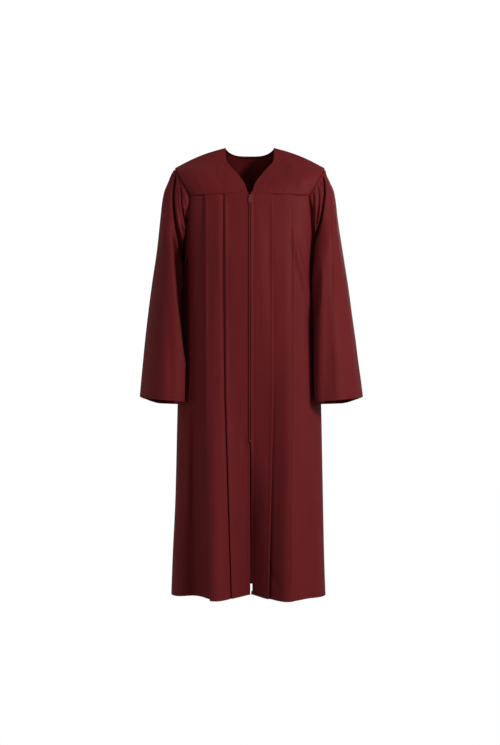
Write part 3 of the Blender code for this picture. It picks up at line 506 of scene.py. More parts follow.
# ---------------------------------------------------------------- cloth shells from grids
def grid_normals(points, closed=False):
    """Unit normals of a grid [rows, columns, 3]; rows run down and columns run to +X on the front."""
    if closed:
        across = np.roll(points, -1, 1) - np.roll(points, 1, 1)
    else:
        across = np.gradient(points, axis=1)
    return unit(np.cross(np.gradient(points, axis=0), across))


def close_rows(points, closed):
    """A grid whose closed rows end on their first point again."""
    return np.concatenate((points, points[:, :1]), 1) if closed else points


def add_piece(name, mesh, material):
    mesh.shade_smooth()
    mesh.materials.clear()
    mesh.materials.append(material)
    piece = bpy.data.objects.new(name, mesh)
    bpy.context.scene.collection.objects.link(piece)
    return piece


def build_shell(name, points, thickness, material, closed=False, outward=1.0):
    """A closed shell round a grid of middle points; thickness is one value a row or one for all."""
    rows, columns = points.shape[:2]
    normals = grid_normals(points, closed) * outward
    half = (np.full(rows, thickness) if np.isscalar(thickness) else np.asarray(thickness)) / 2
    offset = normals * half[:, None, None]
    vertices = np.concatenate(((points + offset).reshape(-1, 3), (points - offset).reshape(-1, 3)))
    shift = rows * columns
    r = np.arange(rows - 1)
    c = np.arange(columns if closed else columns - 1)
    d = (c + 1) % columns
    top, left = r[:, None] * columns, r * columns
    quads = np.stack((top + c, top + columns + c, top + columns + d, top + d), -1).reshape(-1, 4)
    faces = [quads, quads[:, ::-1] + shift]
    last = shift - columns
    sides = [(d, c), (last + c, last + d)]
    if not closed:
        sides += [(left, left + columns), (left + 2 * columns - 1, left + columns - 1)]
    faces += [np.stack((b, a, a + shift, b + shift), -1) for a, b in sides]
    faces = np.concatenate(faces)[:, ::1 if outward > 0 else -1]
    mesh = bpy.data.meshes.new(name)
    mesh.from_pydata(vertices.tolist(), [], faces.tolist())
    u = run_along(close_rows(points, closed).swapaxes(0, 1)).mean(axis=1)
    v = run_along(points).mean(axis=1)
    layer = mesh.uv_layers.new(name="cloth")
    index = np.empty(len(mesh.loops), dtype=np.int64)
    mesh.loops.foreach_get("vertex_index", index)
    place = index % shift
    column = place % columns
    if closed:
        wraps = np.repeat(column.reshape(-1, 4).max(axis=1) == columns - 1, 4)
        column = np.where(wraps & (column == 0), columns, column)
    coordinates = np.stack((u[column], -v[place // columns]), -1)
    layer.data.foreach_set("uv", coordinates.ravel())
    return add_piece(name, mesh, material)


def surface_area(points, closed=False):
    """Area of a grid's middle surface."""
    points = close_rows(points, closed)
    a, b = points[:-1, :-1], points[:-1, 1:]
    c, d = points[1:, 1:], points[1:, :-1]
    first = np.linalg.norm(np.cross(b - a, c - a), axis=2)
    second = np.linalg.norm(np.cross(c - a, d - a), axis=2)
    return float((first + second).sum() / 2)


# ---------------------------------------------------------------- edges of a grid
# A side is top, bottom, left or right of the grid as seen from outside.
def from_side(points, side):
    """The grid turned so that the side comes first along axis 0."""
    turned = points if side in ("top", "bottom") else np.swapaxes(points, 0, 1)
    return turned if side in ("top", "left") else turned[::-1]


def to_side(points, side):
    """Undo from_side."""
    turned = points if side in ("top", "left") else points[::-1]
    return turned if side in ("top", "bottom") else np.swapaxes(turned, 0, 1)


def side_distance(points, side):
    """Distance of each point from a side, along the grid's own lines."""
    return to_side(run_along(from_side(points, side)), side)


def edge_fade(points, sides, width):
    fade = np.ones(points.shape[:2])
    for side in sides:
        fade *= soft(side_distance(points, side) / width)
    return fade


def sink(points, normals, side, depth):
    """Let a side sink softly into its seam."""
    near = np.clip(1.0 - side_distance(points, side) / SEAM_WIDTH, 0.0, 1.0) ** 2
    return points - normals * (depth * near)[..., None]


def sink_sides(points, depths):
    for side, depth in depths:
        points = sink(points, grid_normals(points), side, depth)
    return points


def add_flange(points, normals, side, depth):
    """A seam allowance that turns straight in from a side."""
    turned, facing = from_side(points, side), from_side(normals, side)
    extra = [turned[0] - facing[0] * depth * share for share in (1.0, 0.55, 0.2)]
    return to_side(np.concatenate((np.array(extra), turned)), side)


def add_flanges(points, depths):
    for side, depth in depths:
        points = add_flange(points, grid_normals(points), side, depth)
    return points


def add_turn(points, normals, side, radius, length):
    """A narrow hem turned in at a side: a small round fold and a layer behind."""
    turned, facing = from_side(points, side), from_side(normals, side)[0]
    out = unit(turned[0] - turned[1])
    base = turned[0] - out * radius
    layers = [base - facing * 2 * radius - out * length * share for share in (1.0, 0.5)]
    for angle in (180, 135, 90, 45, 0):
        turn = math.radians(angle)
        layers.append(base + out * radius * math.sin(turn) - facing * radius * (1.0 - math.cos(turn)))
    return to_side(np.concatenate((np.array(layers), turned[1:])), side)


def soften(points, way, fade, amount, seed, marks=(), facing=-1):
    """Press creases into a grid and lay soft waves over it, as far as `fade` lets them."""
    points = press(points, marks, facing, fade)
    return points + (drape(points, way, amount, seed) - points) * fade[..., None]


def straight(points, facing):
    """Directions straight out of the front or back, the same for every layer of a pleat."""
    way = np.zeros(points.shape)
    way[..., 1] = facing
    return way


def upright(points, facing):
    """Directions that lead a panel's top flange up inside its yoke and close to it."""
    depth = np.array([facing * (surface_y(x, z, facing) - y) for x, y, z in points[0]])
    way = np.zeros(points.shape)
    way[..., 1] = -facing * TOP_LEAN * np.maximum(depth - YOKE_LAP, 0.0) / TOP_FLANGE
    beside_neck = soft((np.abs(points[..., 0]) - 0.0090) / 0.0080) if facing < 0 else 1.0
    way[..., 2] = -0.10 - 0.90 * beside_neck
    return way


def groove(points, normals, distance, depth, half):
    """A narrow valley where a distance field is zero, such as a row of stitches pulls."""
    near = np.clip(1.0 - np.abs(distance) / half, 0.0, 1.0)
    return points - normals * (np.multiply(depth, near * near * (3.0 - 2.0 * near)))[..., None]


# ---------------------------------------------------------------- panels
PLACKET_TURN = 0.00055
PLACKET_LAYER = 0.0034
NECK_LAYER = 0.0040
HEM_TURN = 0.00045
HEM_LAYER = 0.0085
HEM_STITCH = 0.0080
CUFF_STITCH = 0.0066
SEAM_SINK = 0.0020
SEAM_WIDTH = 0.0034
YOKE_LAP = 0.0030           # how far a panel sinks below the edge of its yoke
YOKE_SINK = 0.0010
FLANGE = 0.0045
TOP_FLANGE = 0.0060         # a panel's top goes up inside its yoke this far
TOP_LEAN = 0.75             # and the deeper layers of a pleat lean out to it by this share
YOKE_TURN = 0.0008          # a yoke's lower edge turns in only this far, outside the panel's flange
ZIP_GROOVE = 0.0058         # row of stitches beside the zip on the right front
ZIP_DIMPLE = 0.0110         # and on the left front
GROOVE_RUN = (-0.93, 0.14, -0.750, 0.010)       # the right one shows only below the zip
GROOVE_DEPTH = 0.0014
DIMPLE_DEPTH = 0.0007
DIMPLE_HALF = 0.0034
LIP_RISE = 0.0011           # the left front's edge stands up beside the zip
LIP_WIDTH = 0.0040
LIP_FOOT = -0.80
OFF_CENTRE = 0.0014         # both edges beside the zip lie this far to the wearer's right
ZIP_END = -0.7545           # below it each edge moves to its own place, measured from the middle
ZIP_END_RUN = 0.012         # over this length
LAP_LEVEL = -0.90
LAP_RUN = 0.18
RIGHT_LAP = -0.0003
RIGHT_LAP_MORE = -0.0007
LEFT_GAP = 0.0034
LEFT_GAP_MORE = 0.0032
SLIT_TOP = -1.1165          # just above the hem the fronts stand further apart
SLIT_END = 0.0030
SLIT = (-1.1475, 0.006, SLIT_TOP, SLIT_END)
TOP_ROWS = (0.0, 0.0006, 0.0014, 0.0024, 0.0036, 0.0056)
HEM_ROWS = (0.0, 0.0012, 0.0028, 0.0046, 0.0064, 0.0073, 0.0080, 0.0087, 0.0096, 0.0116, 0.0145)
PANEL_STEP = 0.0052
BACK_STEP = 0.0060
PANEL_FADE = 0.030          # creases and waves die out this near a seam of a panel
YOKE_FADE = 0.022           # and of a yoke
ROLL_INSET = 0.0034         # the swell's crest lies this far inside a pleat's edge
ROLL_REACH = 0.0052
PLEAT_COLUMNS = (0.0, 0.0010, 0.0022, 0.0036, 0.0054, 0.0076)
NEXT_COLUMNS = (0.0, 0.0012, 0.0030)
SIDE_SHARES = ((0.0, 0.008, 0.020), (0.0, 0.008, 0.018, 0.032))
BACK_COLUMNS = (0.0, 0.004)
PLACKET_COLUMNS = (0.0, 0.0008, 0.0018, 0.0030, 0.0044, 0.0058, 0.0072, 0.0090)
HEM_GROOVE = 0.00040
GROOVE_HALF = 0.0016


def panel_rows(step):
    slit_rows = [SLIT_TOP - SLIT_END * share for share in (0.0, 0.5, 1.0)]
    return sorted(stations(YOKE_SEAM, HEM, step, TOP_ROWS, HEM_ROWS) + slit_rows, reverse=True)


def front_edge_x(side, z):
    """Half distance from the middle to a front edge, positive on its own side."""
    below_zip = smooth((ZIP_END - z) / ZIP_END_RUN)
    open_end = band(z, *SLIT)
    lower = smooth((LAP_LEVEL - z) / LAP_RUN)
    if side == "R":
        return lerp(OPENING + OFF_CENTRE, RIGHT_LAP + RIGHT_LAP_MORE * max(open_end, lower), below_zip)
    return lerp(OPENING - OFF_CENTRE, LEFT_GAP + LEFT_GAP_MORE * open_end, below_zip)


def fold_radius(z):
    return lerp(FOLD_RADIUS_SEAM, FOLD_RADIUS_HEM, skirt_share(z) ** 1.3)


def bend(x, depth, radius, way):
    """Half a turn of cloth at a pleat's edge."""
    turns = [math.radians(angle) for angle in (45, 90, 135)]
    return [(x + way * radius * math.sin(t), depth + radius * (1.0 - math.cos(t))) for t in turns]


def spread(a, b, count, near_a=(), near_b=()):
    """A fixed number of places from a to b, with given closer ones near both."""
    way = 1.0 if b > a else -1.0
    places = [a + way * d for d in near_a]
    first = a + way * (near_a[-1] if near_a else 0.0)
    last = b - way * (near_b[-1] if near_b else 0.0)
    start = 1 if near_a else 0
    stop = count if near_b else count + 1
    places += [lerp(first, last, i / count) for i in range(start, stop)]
    return places + [b - way * d for d in reversed(near_b)]


def half_section(start_x, z, facing, sign, pleats, near_start):
    """Half a panel's section, from the centre to its outer edge, as points."""
    radius = fold_radius(z)
    places = []
    inner = start_x
    step = 0.0
    for index, pleat in enumerate(pleats):
        edge = pleat_x(pleat, z)
        back = edge - UNDERLAY
        span = edge - inner if index == 0 else min(edge - inner, pleats[0].valley)
        swell = EDGE_ROLL * smooth((YOKE_SEAM - 0.004 - z) / EDGE_ROLL_GROWTH)

        def recess(x, inner=inner, step=step, span=span, edge=edge, swell=swell):
            roll = swell * bump((x - edge + ROLL_INSET) / ROLL_REACH)
            return step * (1.0 - smooth((x - inner) / span)) - roll

        if index == 0:
            top = spread(inner, edge - radius, 17, near_start, PLEAT_COLUMNS)
        else:
            top = spread(inner, edge - radius, 14, NEXT_COLUMNS, PLEAT_COLUMNS)[1:]
        places += [(x, recess(x)) for x in top]
        places += bend(edge - radius, recess(edge - radius), radius, 1)
        places += [(x, recess(x) + 2 * radius) for x in spread(edge - radius, back + radius, 5)]
        places += bend(back + radius, recess(back) + 2 * radius, radius, -1)
        behind = recess(back) + 4 * radius
        step = max(pleat_step(pleat, z), recess(edge) + 4 * radius)
        hidden = spread(back + radius, edge, 6)
        places += [(x, lerp(behind, step, smooth((x - back) / (edge - back)))) for x in hidden]
        inner = edge
    side = half_width(sign, z)
    power = read_table(BODY, "z", "power", z)
    edge_share = read_table(ARMHOLE, "z", side_name(facing), max(z, UNDERARM))
    turn_start = math.asin((inner / side) ** (power / 2))
    turn_end = math.asin(min(1.0, edge_share) ** (power / 2)) if z > UNDERARM else math.pi / 2
    for share in spread(0.0, 1.0, 30, *SIDE_SHARES)[1:]:
        turn = lerp(turn_start, turn_end, share)
        x = side * math.sin(turn) ** (2 / power)
        places.append((x, step * (1.0 - smooth((x - inner) / (STEP_REACH * side - inner)))))
    points = []
    for x, recess in places:
        y = surface_y(sign * x, z, facing) - facing * recess
        points.append((sign * x, y, row_height(sign * x, z, facing)))
    return points


def front_grid(side, sign):
    """The middle points of a front, columns running to +X."""
    rows = []
    for z in panel_rows(PANEL_STEP):
        row = half_section(front_edge_x(side, z), z, -1, sign, PLEATS["front_" + side], PLACKET_COLUMNS)
        rows.append(row if sign > 0 else row[::-1])
    return np.array(rows)


def back_grid():
    """The middle points of the back, columns running to -X, as seen from outside."""
    rows = []
    for z in panel_rows(BACK_STEP):
        left = half_section(0.0, z, 1, 1, PLEATS["back_L"], BACK_COLUMNS)
        right = half_section(0.0, z, 1, -1, PLEATS["back_R"], BACK_COLUMNS)
        rows.append(left[::-1] + right[1:])
    return np.array(rows)


def finish_panel(points, way, facing, from_hem, sides, centre=None):
    """Hem stitches' pull, seams and hem of a front or back; also the grid without what turns in."""
    points = groove(points, way, from_hem - HEM_STITCH, HEM_GROOVE, GROOVE_HALF)
    points = sink(points, way, "top", YOKE_LAP)
    points = sink_sides(points, [(side, SEAM_SINK) for side in sides])
    edges = points.copy()
    points = add_flanges(points, [(side, FLANGE) for side in sides])
    points = add_flange(points, upright(points, facing), "top", TOP_FLANGE)
    if centre:
        points = add_turn(points, grid_normals(points), centre, PLACKET_TURN, PLACKET_LAYER)
    return add_turn(points, grid_normals(points), "bottom", HEM_TURN, HEM_LAYER), edges


def dress_front(side, sign):
    points = front_grid(side, sign)
    centre, outer = ("left", "right") if sign > 0 else ("right", "left")
    way = straight(points, -1)
    from_centre = side_distance(points, centre)
    from_hem = side_distance(points, "bottom")
    fade = edge_fade(points, ("top", outer), PANEL_FADE)
    points = soften(points, way, fade, 0.00045, 1.0 + sign, CREASES["front_" + side])
    x, z = points[..., 0], points[..., 2]
    if side == "R":
        depth = GROOVE_DEPTH * band(z, *GROOVE_RUN)
        points = groove(points, way, x + ZIP_GROOVE, depth, GROOVE_HALF)
    else:
        points = groove(points, way, x - ZIP_DIMPLE, DIMPLE_DEPTH, DIMPLE_HALF)
        lift = LIP_RISE * soft(1.0 - from_centre / LIP_WIDTH) * soft((z - LIP_FOOT) / 0.04)
        points = points + way * lift[..., None]
    return finish_panel(points, way, -1, from_hem, (outer,), centre)


def dress_back():
    points = back_grid()
    way = straight(points, 1)
    from_hem = side_distance(points, "bottom")
    fade = edge_fade(points, ("top", "left", "right"), PANEL_FADE)
    points = soften(points, way, fade, 0.00055, 4.4, CREASES["back"], 1)
    return finish_panel(points, way, 1, from_hem, ("left", "right"))


# ---------------------------------------------------------------- yokes
def yoke_fall(share):
    turn = share * math.pi / 2
    outward = lerp(share, math.sin(turn), YOKE_ROUND)
    down = lerp(share, 1.0 - math.cos(turn), YOKE_ROUND)
    return outward, down


def yoke_side_edge(corner, share):
    outward, down = yoke_fall(share)
    point = SHOULDER.lerp(corner, down)
    point.y = lerp(SHOULDER.y, corner.y, outward)
    return point


def neckline_point(share):
    """A point of the V neckline on a smooth curve through its table."""
    at = share * (len(NECKLINE) - 1)
    index = min(int(at), len(NECKLINE) - 2)
    near = [Vector(NECKLINE[clamp(i, 0, len(NECKLINE) - 1)]) for i in range(index - 1, index + 3)]
    return spline(*near, at - index)


def coons(top, bottom, left, right, u, v):
    ruled = top(u).lerp(bottom(u), v) + left(v).lerp(right(v), u)
    corners = top(0.0).lerp(top(1.0), u).lerp(bottom(0.0).lerp(bottom(1.0), u), v)
    return ruled - corners


def seam_point(x, facing):
    """A point of the seam below a yoke."""
    return Vector((x, surface_y(x, YOKE_SEAM, facing), row_height(x, YOKE_SEAM, facing)))


def seam_corner(facing):
    share = read_table(ARMHOLE, "z", side_name(facing), YOKE_SEAM)
    return seam_point(half_width(1, YOKE_SEAM) * share, facing)


def shoulder_seam(u):
    point = NECK_POINT.lerp(SHOULDER, u)
    point.z += SHOULDER_ARCH * math.sin(math.pi * u)
    return point


YOKE_DOWN = stations(0.0, 1.0, 0.024, (0.0, 0.005, 0.012, 0.022), (0.0, 0.004, 0.010, 0.017, 0.027))
YOKE_ACROSS = stations(0.0, 1.0, 0.024, (0.0, 0.006, 0.015, 0.028), (0.0, 0.005, 0.012, 0.022))


def front_yoke_grid(sign):
    """Middle points of a front yoke, columns running to +X."""
    corner = seam_corner(-1)
    tip = NECKLINE[-1].half_width

    def bottom(u):
        return seam_point(lerp(tip, corner.x, u), -1)

    def neckline(v):
        return neckline_point(v) + (bottom(0.0) - neckline_point(1.0)) * v ** 4

    def armhole(v):
        return yoke_side_edge(corner, v)

    rows = []
    for v in YOKE_DOWN:
        row = []
        for u in YOKE_ACROSS:
            point = coons(shoulder_seam, bottom, neckline, armhole, u, v)
            round_out = math.sin(math.pi * v) * math.sin(math.pi * lerp(0.15, 1.0, u)) * u
            row.append((sign * point.x, point.y - CHEST_ROUND * round_out, point.z))
        rows.append(row if sign > 0 else row[::-1])
    return np.array(rows)


def shoulder_line(x):
    if abs(x) >= NECK_POINT.x:
        point = shoulder_seam((abs(x) - NECK_POINT.x) / (SHOULDER.x - NECK_POINT.x))
        return Vector((x, point.y, point.z))
    rise = math.cos(math.pi / 2 * x / NECK_POINT.x) ** 2
    return Vector((x, NECK_POINT.y, lerp(NECK_POINT.z, NECK_RIDGE, rise)))


def back_profile(x, v, corner):
    top = shoulder_line(x)
    foot = seam_point(x * corner.x / SHOULDER.x, 1)
    outward, down = yoke_fall(v)
    return Vector((lerp(x, foot.x, down), lerp(top.y, foot.y, outward), lerp(top.z, foot.z, down)))


def neck_cut(x, corner):
    if abs(x) >= NECK_POINT.x:
        return 0.0
    reach = math.sqrt(1.0 - (x / NECK_POINT.x) ** 2)
    target = lerp(NECK_POINT.y, BACK_NECK_DEPTH, reach)
    low, high = 0.0, 1.0
    for _ in range(30):
        middle = (low + high) / 2
        if back_profile(x, middle, corner).y < target:
            low = middle
        else:
            high = middle
    return low


def back_yoke_grid():
    """Middle points of the back yoke, columns running to -X."""
    corner = seam_corner(1)
    places = [lerp(SHOULDER.x, NECK_POINT.x, share) for share in
              stations(0.0, 1.0, 0.032, (0.0, 0.005, 0.012, 0.022), (0.0, 0.02))]
    places += [NECK_POINT.x * math.cos(math.pi / 2 * i / 20) for i in range(1, 21)]
    places = places + [-x for x in places[-2::-1]]
    rows = []
    for share in YOKE_DOWN:
        row = [back_profile(x, lerp(neck_cut(x, corner), 1.0, share), corner) for x in places]
        edge = yoke_side_edge(corner, share)
        row[0] = edge
        row[-1] = Vector((-edge.x, edge.y, edge.z))
        rows.append([tuple(point) for point in row])
    return np.array(rows)


def dress_front_yoke(side, sign):
    points = front_yoke_grid(sign)
    neck, outer = ("left", "right") if sign > 0 else ("right", "left")
    fade = edge_fade(points, ("top", "bottom", outer), YOKE_FADE)
    points = soften(points, grid_normals(points), fade, 0.00035, 2.5 * sign, CREASES["yoke_front_" + side])
    points = sink_sides(points, (("top", SEAM_SINK), ("bottom", YOKE_SINK), (outer, SEAM_SINK)))
    edges = points.copy()
    points = add_flanges(points, ((outer, FLANGE), ("top", FLANGE), ("bottom", YOKE_TURN)))
    return add_turn(points, grid_normals(points), neck, PLACKET_TURN, NECK_LAYER), edges


def dress_back_yoke():
    points = back_yoke_grid()
    fade = edge_fade(points, ("top", "bottom", "left", "right"), YOKE_FADE)
    points = soften(points, grid_normals(points), fade, 0.00045, 7.7)
    points = sink_sides(points, (("bottom", YOKE_SINK), ("left", SEAM_SINK), ("right", SEAM_SINK)))
    on_shoulder = soft((np.abs(points[..., 0]) - NECK_POINT.x) / 0.006)
    points = sink(points, grid_normals(points), "top", SEAM_SINK * on_shoulder)
    edges = points.copy()
    points = add_flanges(points, (("left", FLANGE), ("right", FLANGE), ("bottom", YOKE_TURN)))
    return add_turn(points, grid_normals(points), "top", PLACKET_TURN, NECK_LAYER), edges


# ---------------------------------------------------------------- sleeves
SLEEVE_TURNS = 240
SLEEVE_DENSER = 0.35        # how much closer the columns are at the front than at the back
SLEEVE_SINK = 0.0016
SIDE_HOLLOW = 0.018         # how much further back a front falls beside the sleeve
HOLLOW_RUN = (-0.66, 0.10, -0.24, 0.06)
CLEAR_LEVELS = (-0.70, -0.04, 133)              # heights, lowest, highest and how many
SLEEVE_FRONT = (0.005, 0.035, 0.62, 0.24)       # turns that the creases of the front may reach
SLEEVE_REAR = (0.58, 0.14, 0.99, 0.10)
CROWN_SHARE = 0.44          # of a sleeve's length has closer rows
CROWN_STEP = 0.0044
ARM_STEP = 0.0098
PUCKER_RISE = 0.004
PUCKER_FADE = 0.022
SLEEVE_SEAM = 0.0045
SLEEVE_SHARES = (0.0, 0.0012, 0.003, 0.0055, 0.009, 0.014)
CUFF_LAYER = 0.0070
CUFF_SHARES = (0.0, 0.002, 0.0045, 0.0075, 0.0095, 0.0110, 0.0125, 0.0145, 0.019)
Rim = namedtuple("Rim", "outward beyond")
CROWN_RIM = table(      # the crown's edge, tucked in under the armhole's
    Rim, (-0.0062, -0.0022), (-0.0056, -0.0004), (-0.0036, 0.0004), (-0.0012, 0.0006), (0.0006, 0.0009),
    (0.0017, 0.0016))
Pucker = namedtuple("Pucker", "turn reach depth")
PUCKERS = table(
    Pucker, (-0.190, 0.013, 0.0010), (-0.150, 0.010, 0.0014), (-0.118, 0.009, 0.0008),
    (-0.084, 0.012, 0.0012), (-0.046, 0.010, 0.0008), (0.000, 0.011, 0.0006), (0.040, 0.010, 0.0005),
    (0.078, 0.012, 0.0004))


def sleeve_turns():
    """Turns of a sleeve's columns, closer together at the front."""
    at = np.arange(SLEEVE_TURNS) / SLEEVE_TURNS
    return at + SLEEVE_DENSER * (np.cos(2 * np.pi * at) - 1.0) / (2 * np.pi)


def armhole_loop(front_yoke, front, back, back_yoke, sign):
    """Points and outward normals round an armhole: shoulder, front, underarm, back, shoulder."""
    line, normals = [], []
    for grid, column, order in ((front_yoke, -1, 1), (front, -1, 1), (back, 0, -1), (back_yoke, 0, -1)):
        column = column if sign > 0 else -1 - column
        points, out = grid[:, column], grid_normals(grid)[:, column]
        keep = points[:, 2] > UNDERARM - 0.0005
        line.append(points[keep][::order])
        normals.append(out[keep][::order])
    line, normals = np.concatenate(line), np.concatenate(normals)
    normals[((line - np.array(CHEST)) * normals).sum(axis=1) < 0] *= -1
    keep = np.linalg.norm(np.roll(line, -1, 0) - line, axis=1) > 1e-5
    line, normals = line[keep], normals[keep]
    lowest = int(np.argmin(line[:, 2]))
    line, normals = np.concatenate((line, line[:1])), np.concatenate((normals, normals[:1]))
    lengths = run_along(line)
    turns = np.interp(lengths, lengths[[0, lowest, -1]], (0.0, 0.5, 1.0))
    points, out = (resample(sleeve_turns(), turns, values) for values in (line, normals))
    for _ in range(6):
        out = (np.roll(out, 1, 0) + out + np.roll(out, -1, 0)) / 3
        points = 0.25 * np.roll(points, 1, 0) + 0.5 * points + 0.25 * np.roll(points, -1, 0)
    return points, unit(out)


def sleeve_section(turn, z, sign):
    columns = ("inner", "outer_left" if sign > 0 else "outer_right", "front", "back")
    inner, outer, front, back = (read_table(SLEEVE, "z", column, z) for column in columns)
    across, along = math.cos(2 * math.pi * turn), math.sin(2 * math.pi * turn)
    power = read_table(SLEEVE, "z", "edge", z) if across > 0 else SLEEVE_POWER
    reach = (abs(across) ** power + abs(along) ** power) ** (-1 / power)
    x = (inner + outer) / 2 + (outer - inner) / 2 * reach * across
    y = (front + back) / 2 - (back - front) / 2 * reach * along
    return x, y


def beside_body(x, y, z, sign):
    power = read_table(BODY, "z", "power", z)
    share = abs(y) / (read_table(BODY, "z", side_name(y), z) + SLEEVE_GAP)
    if share >= 1.0:
        return x
    wall = (half_width(sign, z) + SLEEVE_GAP) * (1.0 - share ** power) ** (1.0 / power)
    return 0.5 * (x + wall + math.sqrt((x - wall) ** 2 + SLEEVE_SOFT ** 2))


def clear_of_body(points, moved, sign):
    """Move what creases have pushed towards the body out again, beside it."""
    shift = np.linalg.norm(moved - points, axis=2)
    x, y, z = np.moveaxis(moved, -1, 0)
    x = x * sign
    levels = np.linspace(*CLEAR_LEVELS)
    columns = ("power", "front", "back", "left" if sign > 0 else "right")
    tables = [[read_table(BODY, "z", column, level) for level in levels] for column in columns]
    power, front, back, half = (np.interp(z, levels, values) for values in tables)
    depth = np.where(y < 0, front, back) + SLEEVE_GAP
    hollow = SIDE_HOLLOW * band(z, *HOLLOW_RUN) * soft((-0.010 - y) / 0.016)
    share = np.clip((np.abs(y) + hollow) / depth, 0.0, 1.0)
    wall = (half + SLEEVE_GAP) * (1.0 - share ** power) ** (1.0 / power)
    moved = moved.copy()
    moved[..., 0] = sign * lerp(x, np.maximum(x, wall), soft(shift / 0.003))
    return moved


def sleeve_point(sign, start, turn, share):
    z = lerp(start[2], CUFF - read_table(CUFF_EDGE, "turn", "drop", turn), share)
    x_seam, y_seam = sleeve_section(turn, start[2], sign)
    x, y = sleeve_section(turn, z, sign)
    hold = (1.0 - clamp((start[2] - z) / CROWN_DROP)) ** 2
    x += hold * (abs(start[0]) - x_seam)
    y += hold * (start[1] - y_seam)
    if 0.2 < turn < 0.8:
        x = beside_body(x, y, z, sign)
    return sign * x, y, z


def dress_sleeve(side, sign, loop):
    line, out = loop
    beyond = unit(np.cross(out, np.roll(line, -1, 0) - np.roll(line, 1, 0)) * sign)
    starts = line + out * (CAD_CLOTH + CAD_SEAM) + beyond * (CAD_CLOTH / 2 + CAD_SEAM)
    turns = sleeve_turns()
    rows = [line + out * up + beyond * way for up, way in CROWN_RIM]
    shares = stations(0.0, CROWN_SHARE, CROWN_STEP, SLEEVE_SHARES)
    shares += stations(CROWN_SHARE, 1.0, ARM_STEP, (), CUFF_SHARES)[1:]
    for share in shares:
        rows.append([sleeve_point(sign, start, turn, share) for start, turn in zip(starts, turns)])
    points = np.array(rows)
    if sign < 0:
        points = points[:, ::-1]
        turns = turns[::-1]
    ring = len(CROWN_RIM)
    outward = -1.0
    normals = grid_normals(points, True) * outward
    if ((points - points.mean(axis=1, keepdims=True)) * normals).sum(axis=2).mean() < 0:
        outward = -outward
        normals = -normals
    fall = side_distance(points[ring - 1:], "top")
    fall = np.concatenate((np.zeros((ring - 1, fall.shape[1])), fall))
    fade = soft((fall - 0.001) / 0.009)
    moved = press(points, CREASES["sleeve_" + side], -1, band(turns, *SLEEVE_FRONT) * fade)
    moved = press(moved, CREASES["sleeve_" + side + "_back"], 1, band(turns, *SLEEVE_REAR) * fade)
    moved = clear_of_body(points, moved, sign)
    points = moved + (drape(moved, normals, 0.00045, 3.3 + sign) - moved) * fade[..., None]
    normals = grid_normals(points, True) * outward
    around = np.where(turns > 0.5, turns - 1.0, turns)
    gather = np.array([sum(p.depth * bump((t - p.turn - 0.006 * sign) / p.reach) for p in PUCKERS)
                       for t in around])
    die = soft(fall / PUCKER_RISE) * np.exp(-np.maximum(fall - PUCKER_RISE, 0.0) / PUCKER_FADE)
    seam = SLEEVE_SINK * np.clip(1.0 - fall / SLEEVE_SEAM, 0.0, 1.0) ** 2
    points = points - normals * (gather * die + seam)[..., None]
    from_hem = side_distance(points, "bottom")
    points = groove(points, grid_normals(points, True) * outward, from_hem - CUFF_STITCH, HEM_GROOVE,
                    GROOVE_HALF)
    return add_turn(points, grid_normals(points, True) * outward, "bottom", HEM_TURN, CUFF_LAYER), outward


# ---------------------------------------------------------------- zip
COIL_PITCH = 0.00155
COIL_HALF = 0.0027
COIL_OVERLAP = 0.0007
COIL_THICK = 0.00058
COIL_DEPTH = 0.0004         # behind the fronts' middle surface
COIL_LEAN = 0.16            # how much each turn of the coil slants
TAPE_COLUMNS = (0.0004, 0.0020, 0.0040, 0.0070, 0.0100, 0.0132)
TAPE_BACK = 0.0019
TAPE_SHELL = 0.0006
TAPE_PLAY = 0.0040          # how far aside they are folded
TAPE_FOLD = -0.1285         # above this the tapes are folded away under the fronts
SLIDER_HALF_TOP = 0.0038
SLIDER_HALF_MOUTH = 0.0031
SLIDER_LENGTH = 0.0115
SLIDER_DEPTH = 0.0032
SLIDER_CROWN = 0.003
SLIDER_WALL = 0.0011
SLIDER_BACK = 0.0009
SLIDER_RIM = ((0.0024, -0.0030), (0.0031, -0.0032), (0.0026, -0.0105), (0.0020, -0.0105))
BRIDGE_INNER = 0.0015
BRIDGE_OUTER = 0.0026
BRIDGE_HALF = 0.0009
BRIDGE_FOOT = 0.0008
PIVOT_DROP = 0.0045
TAB_HALF = 0.0032
TAB_LENGTH = 0.0185
TAB_DEPTH = 0.0010
TAB_SEAT = -(CAD_SEAM + TAB_DEPTH / 2)
TAB_NECK = 0.0026
TAB_WINDOW_HALF = 0.0013
TAB_WINDOW_LENGTH = 0.0029
TAB_BAR = 0.0005
TAB_SHOULDER = 0.0050
GRIP_HALF = 0.0014
GRIP_TALL = 0.0030
GRIP_RISE = 0.0062
STOP_HEIGHT = 0.0028
STOP_DEPTH = 0.0022
ZIP_TILT = -0.29764


def zip_point(z):
    """Middle of the zip on the fronts' middle surface."""
    return np.array((0.0, surface_y(OPENING, z, -1), row_height(OPENING, z, -1)))


def zip_path(top, bottom, step):
    """Evenly spaced points down the zip, with unit steps down it and into the robe."""
    fine = np.array([zip_point(z) for z in np.linspace(top, bottom, 500)])
    run = run_along(fine)
    at = np.linspace(0.0, run[-1], max(2, int(run[-1] / step)) + 1)
    points = resample(at, run, fine)
    down = unit(np.gradient(points, axis=0))
    return points, down, np.stack((np.zeros(len(down)), -down[:, 2], down[:, 1]), -1)


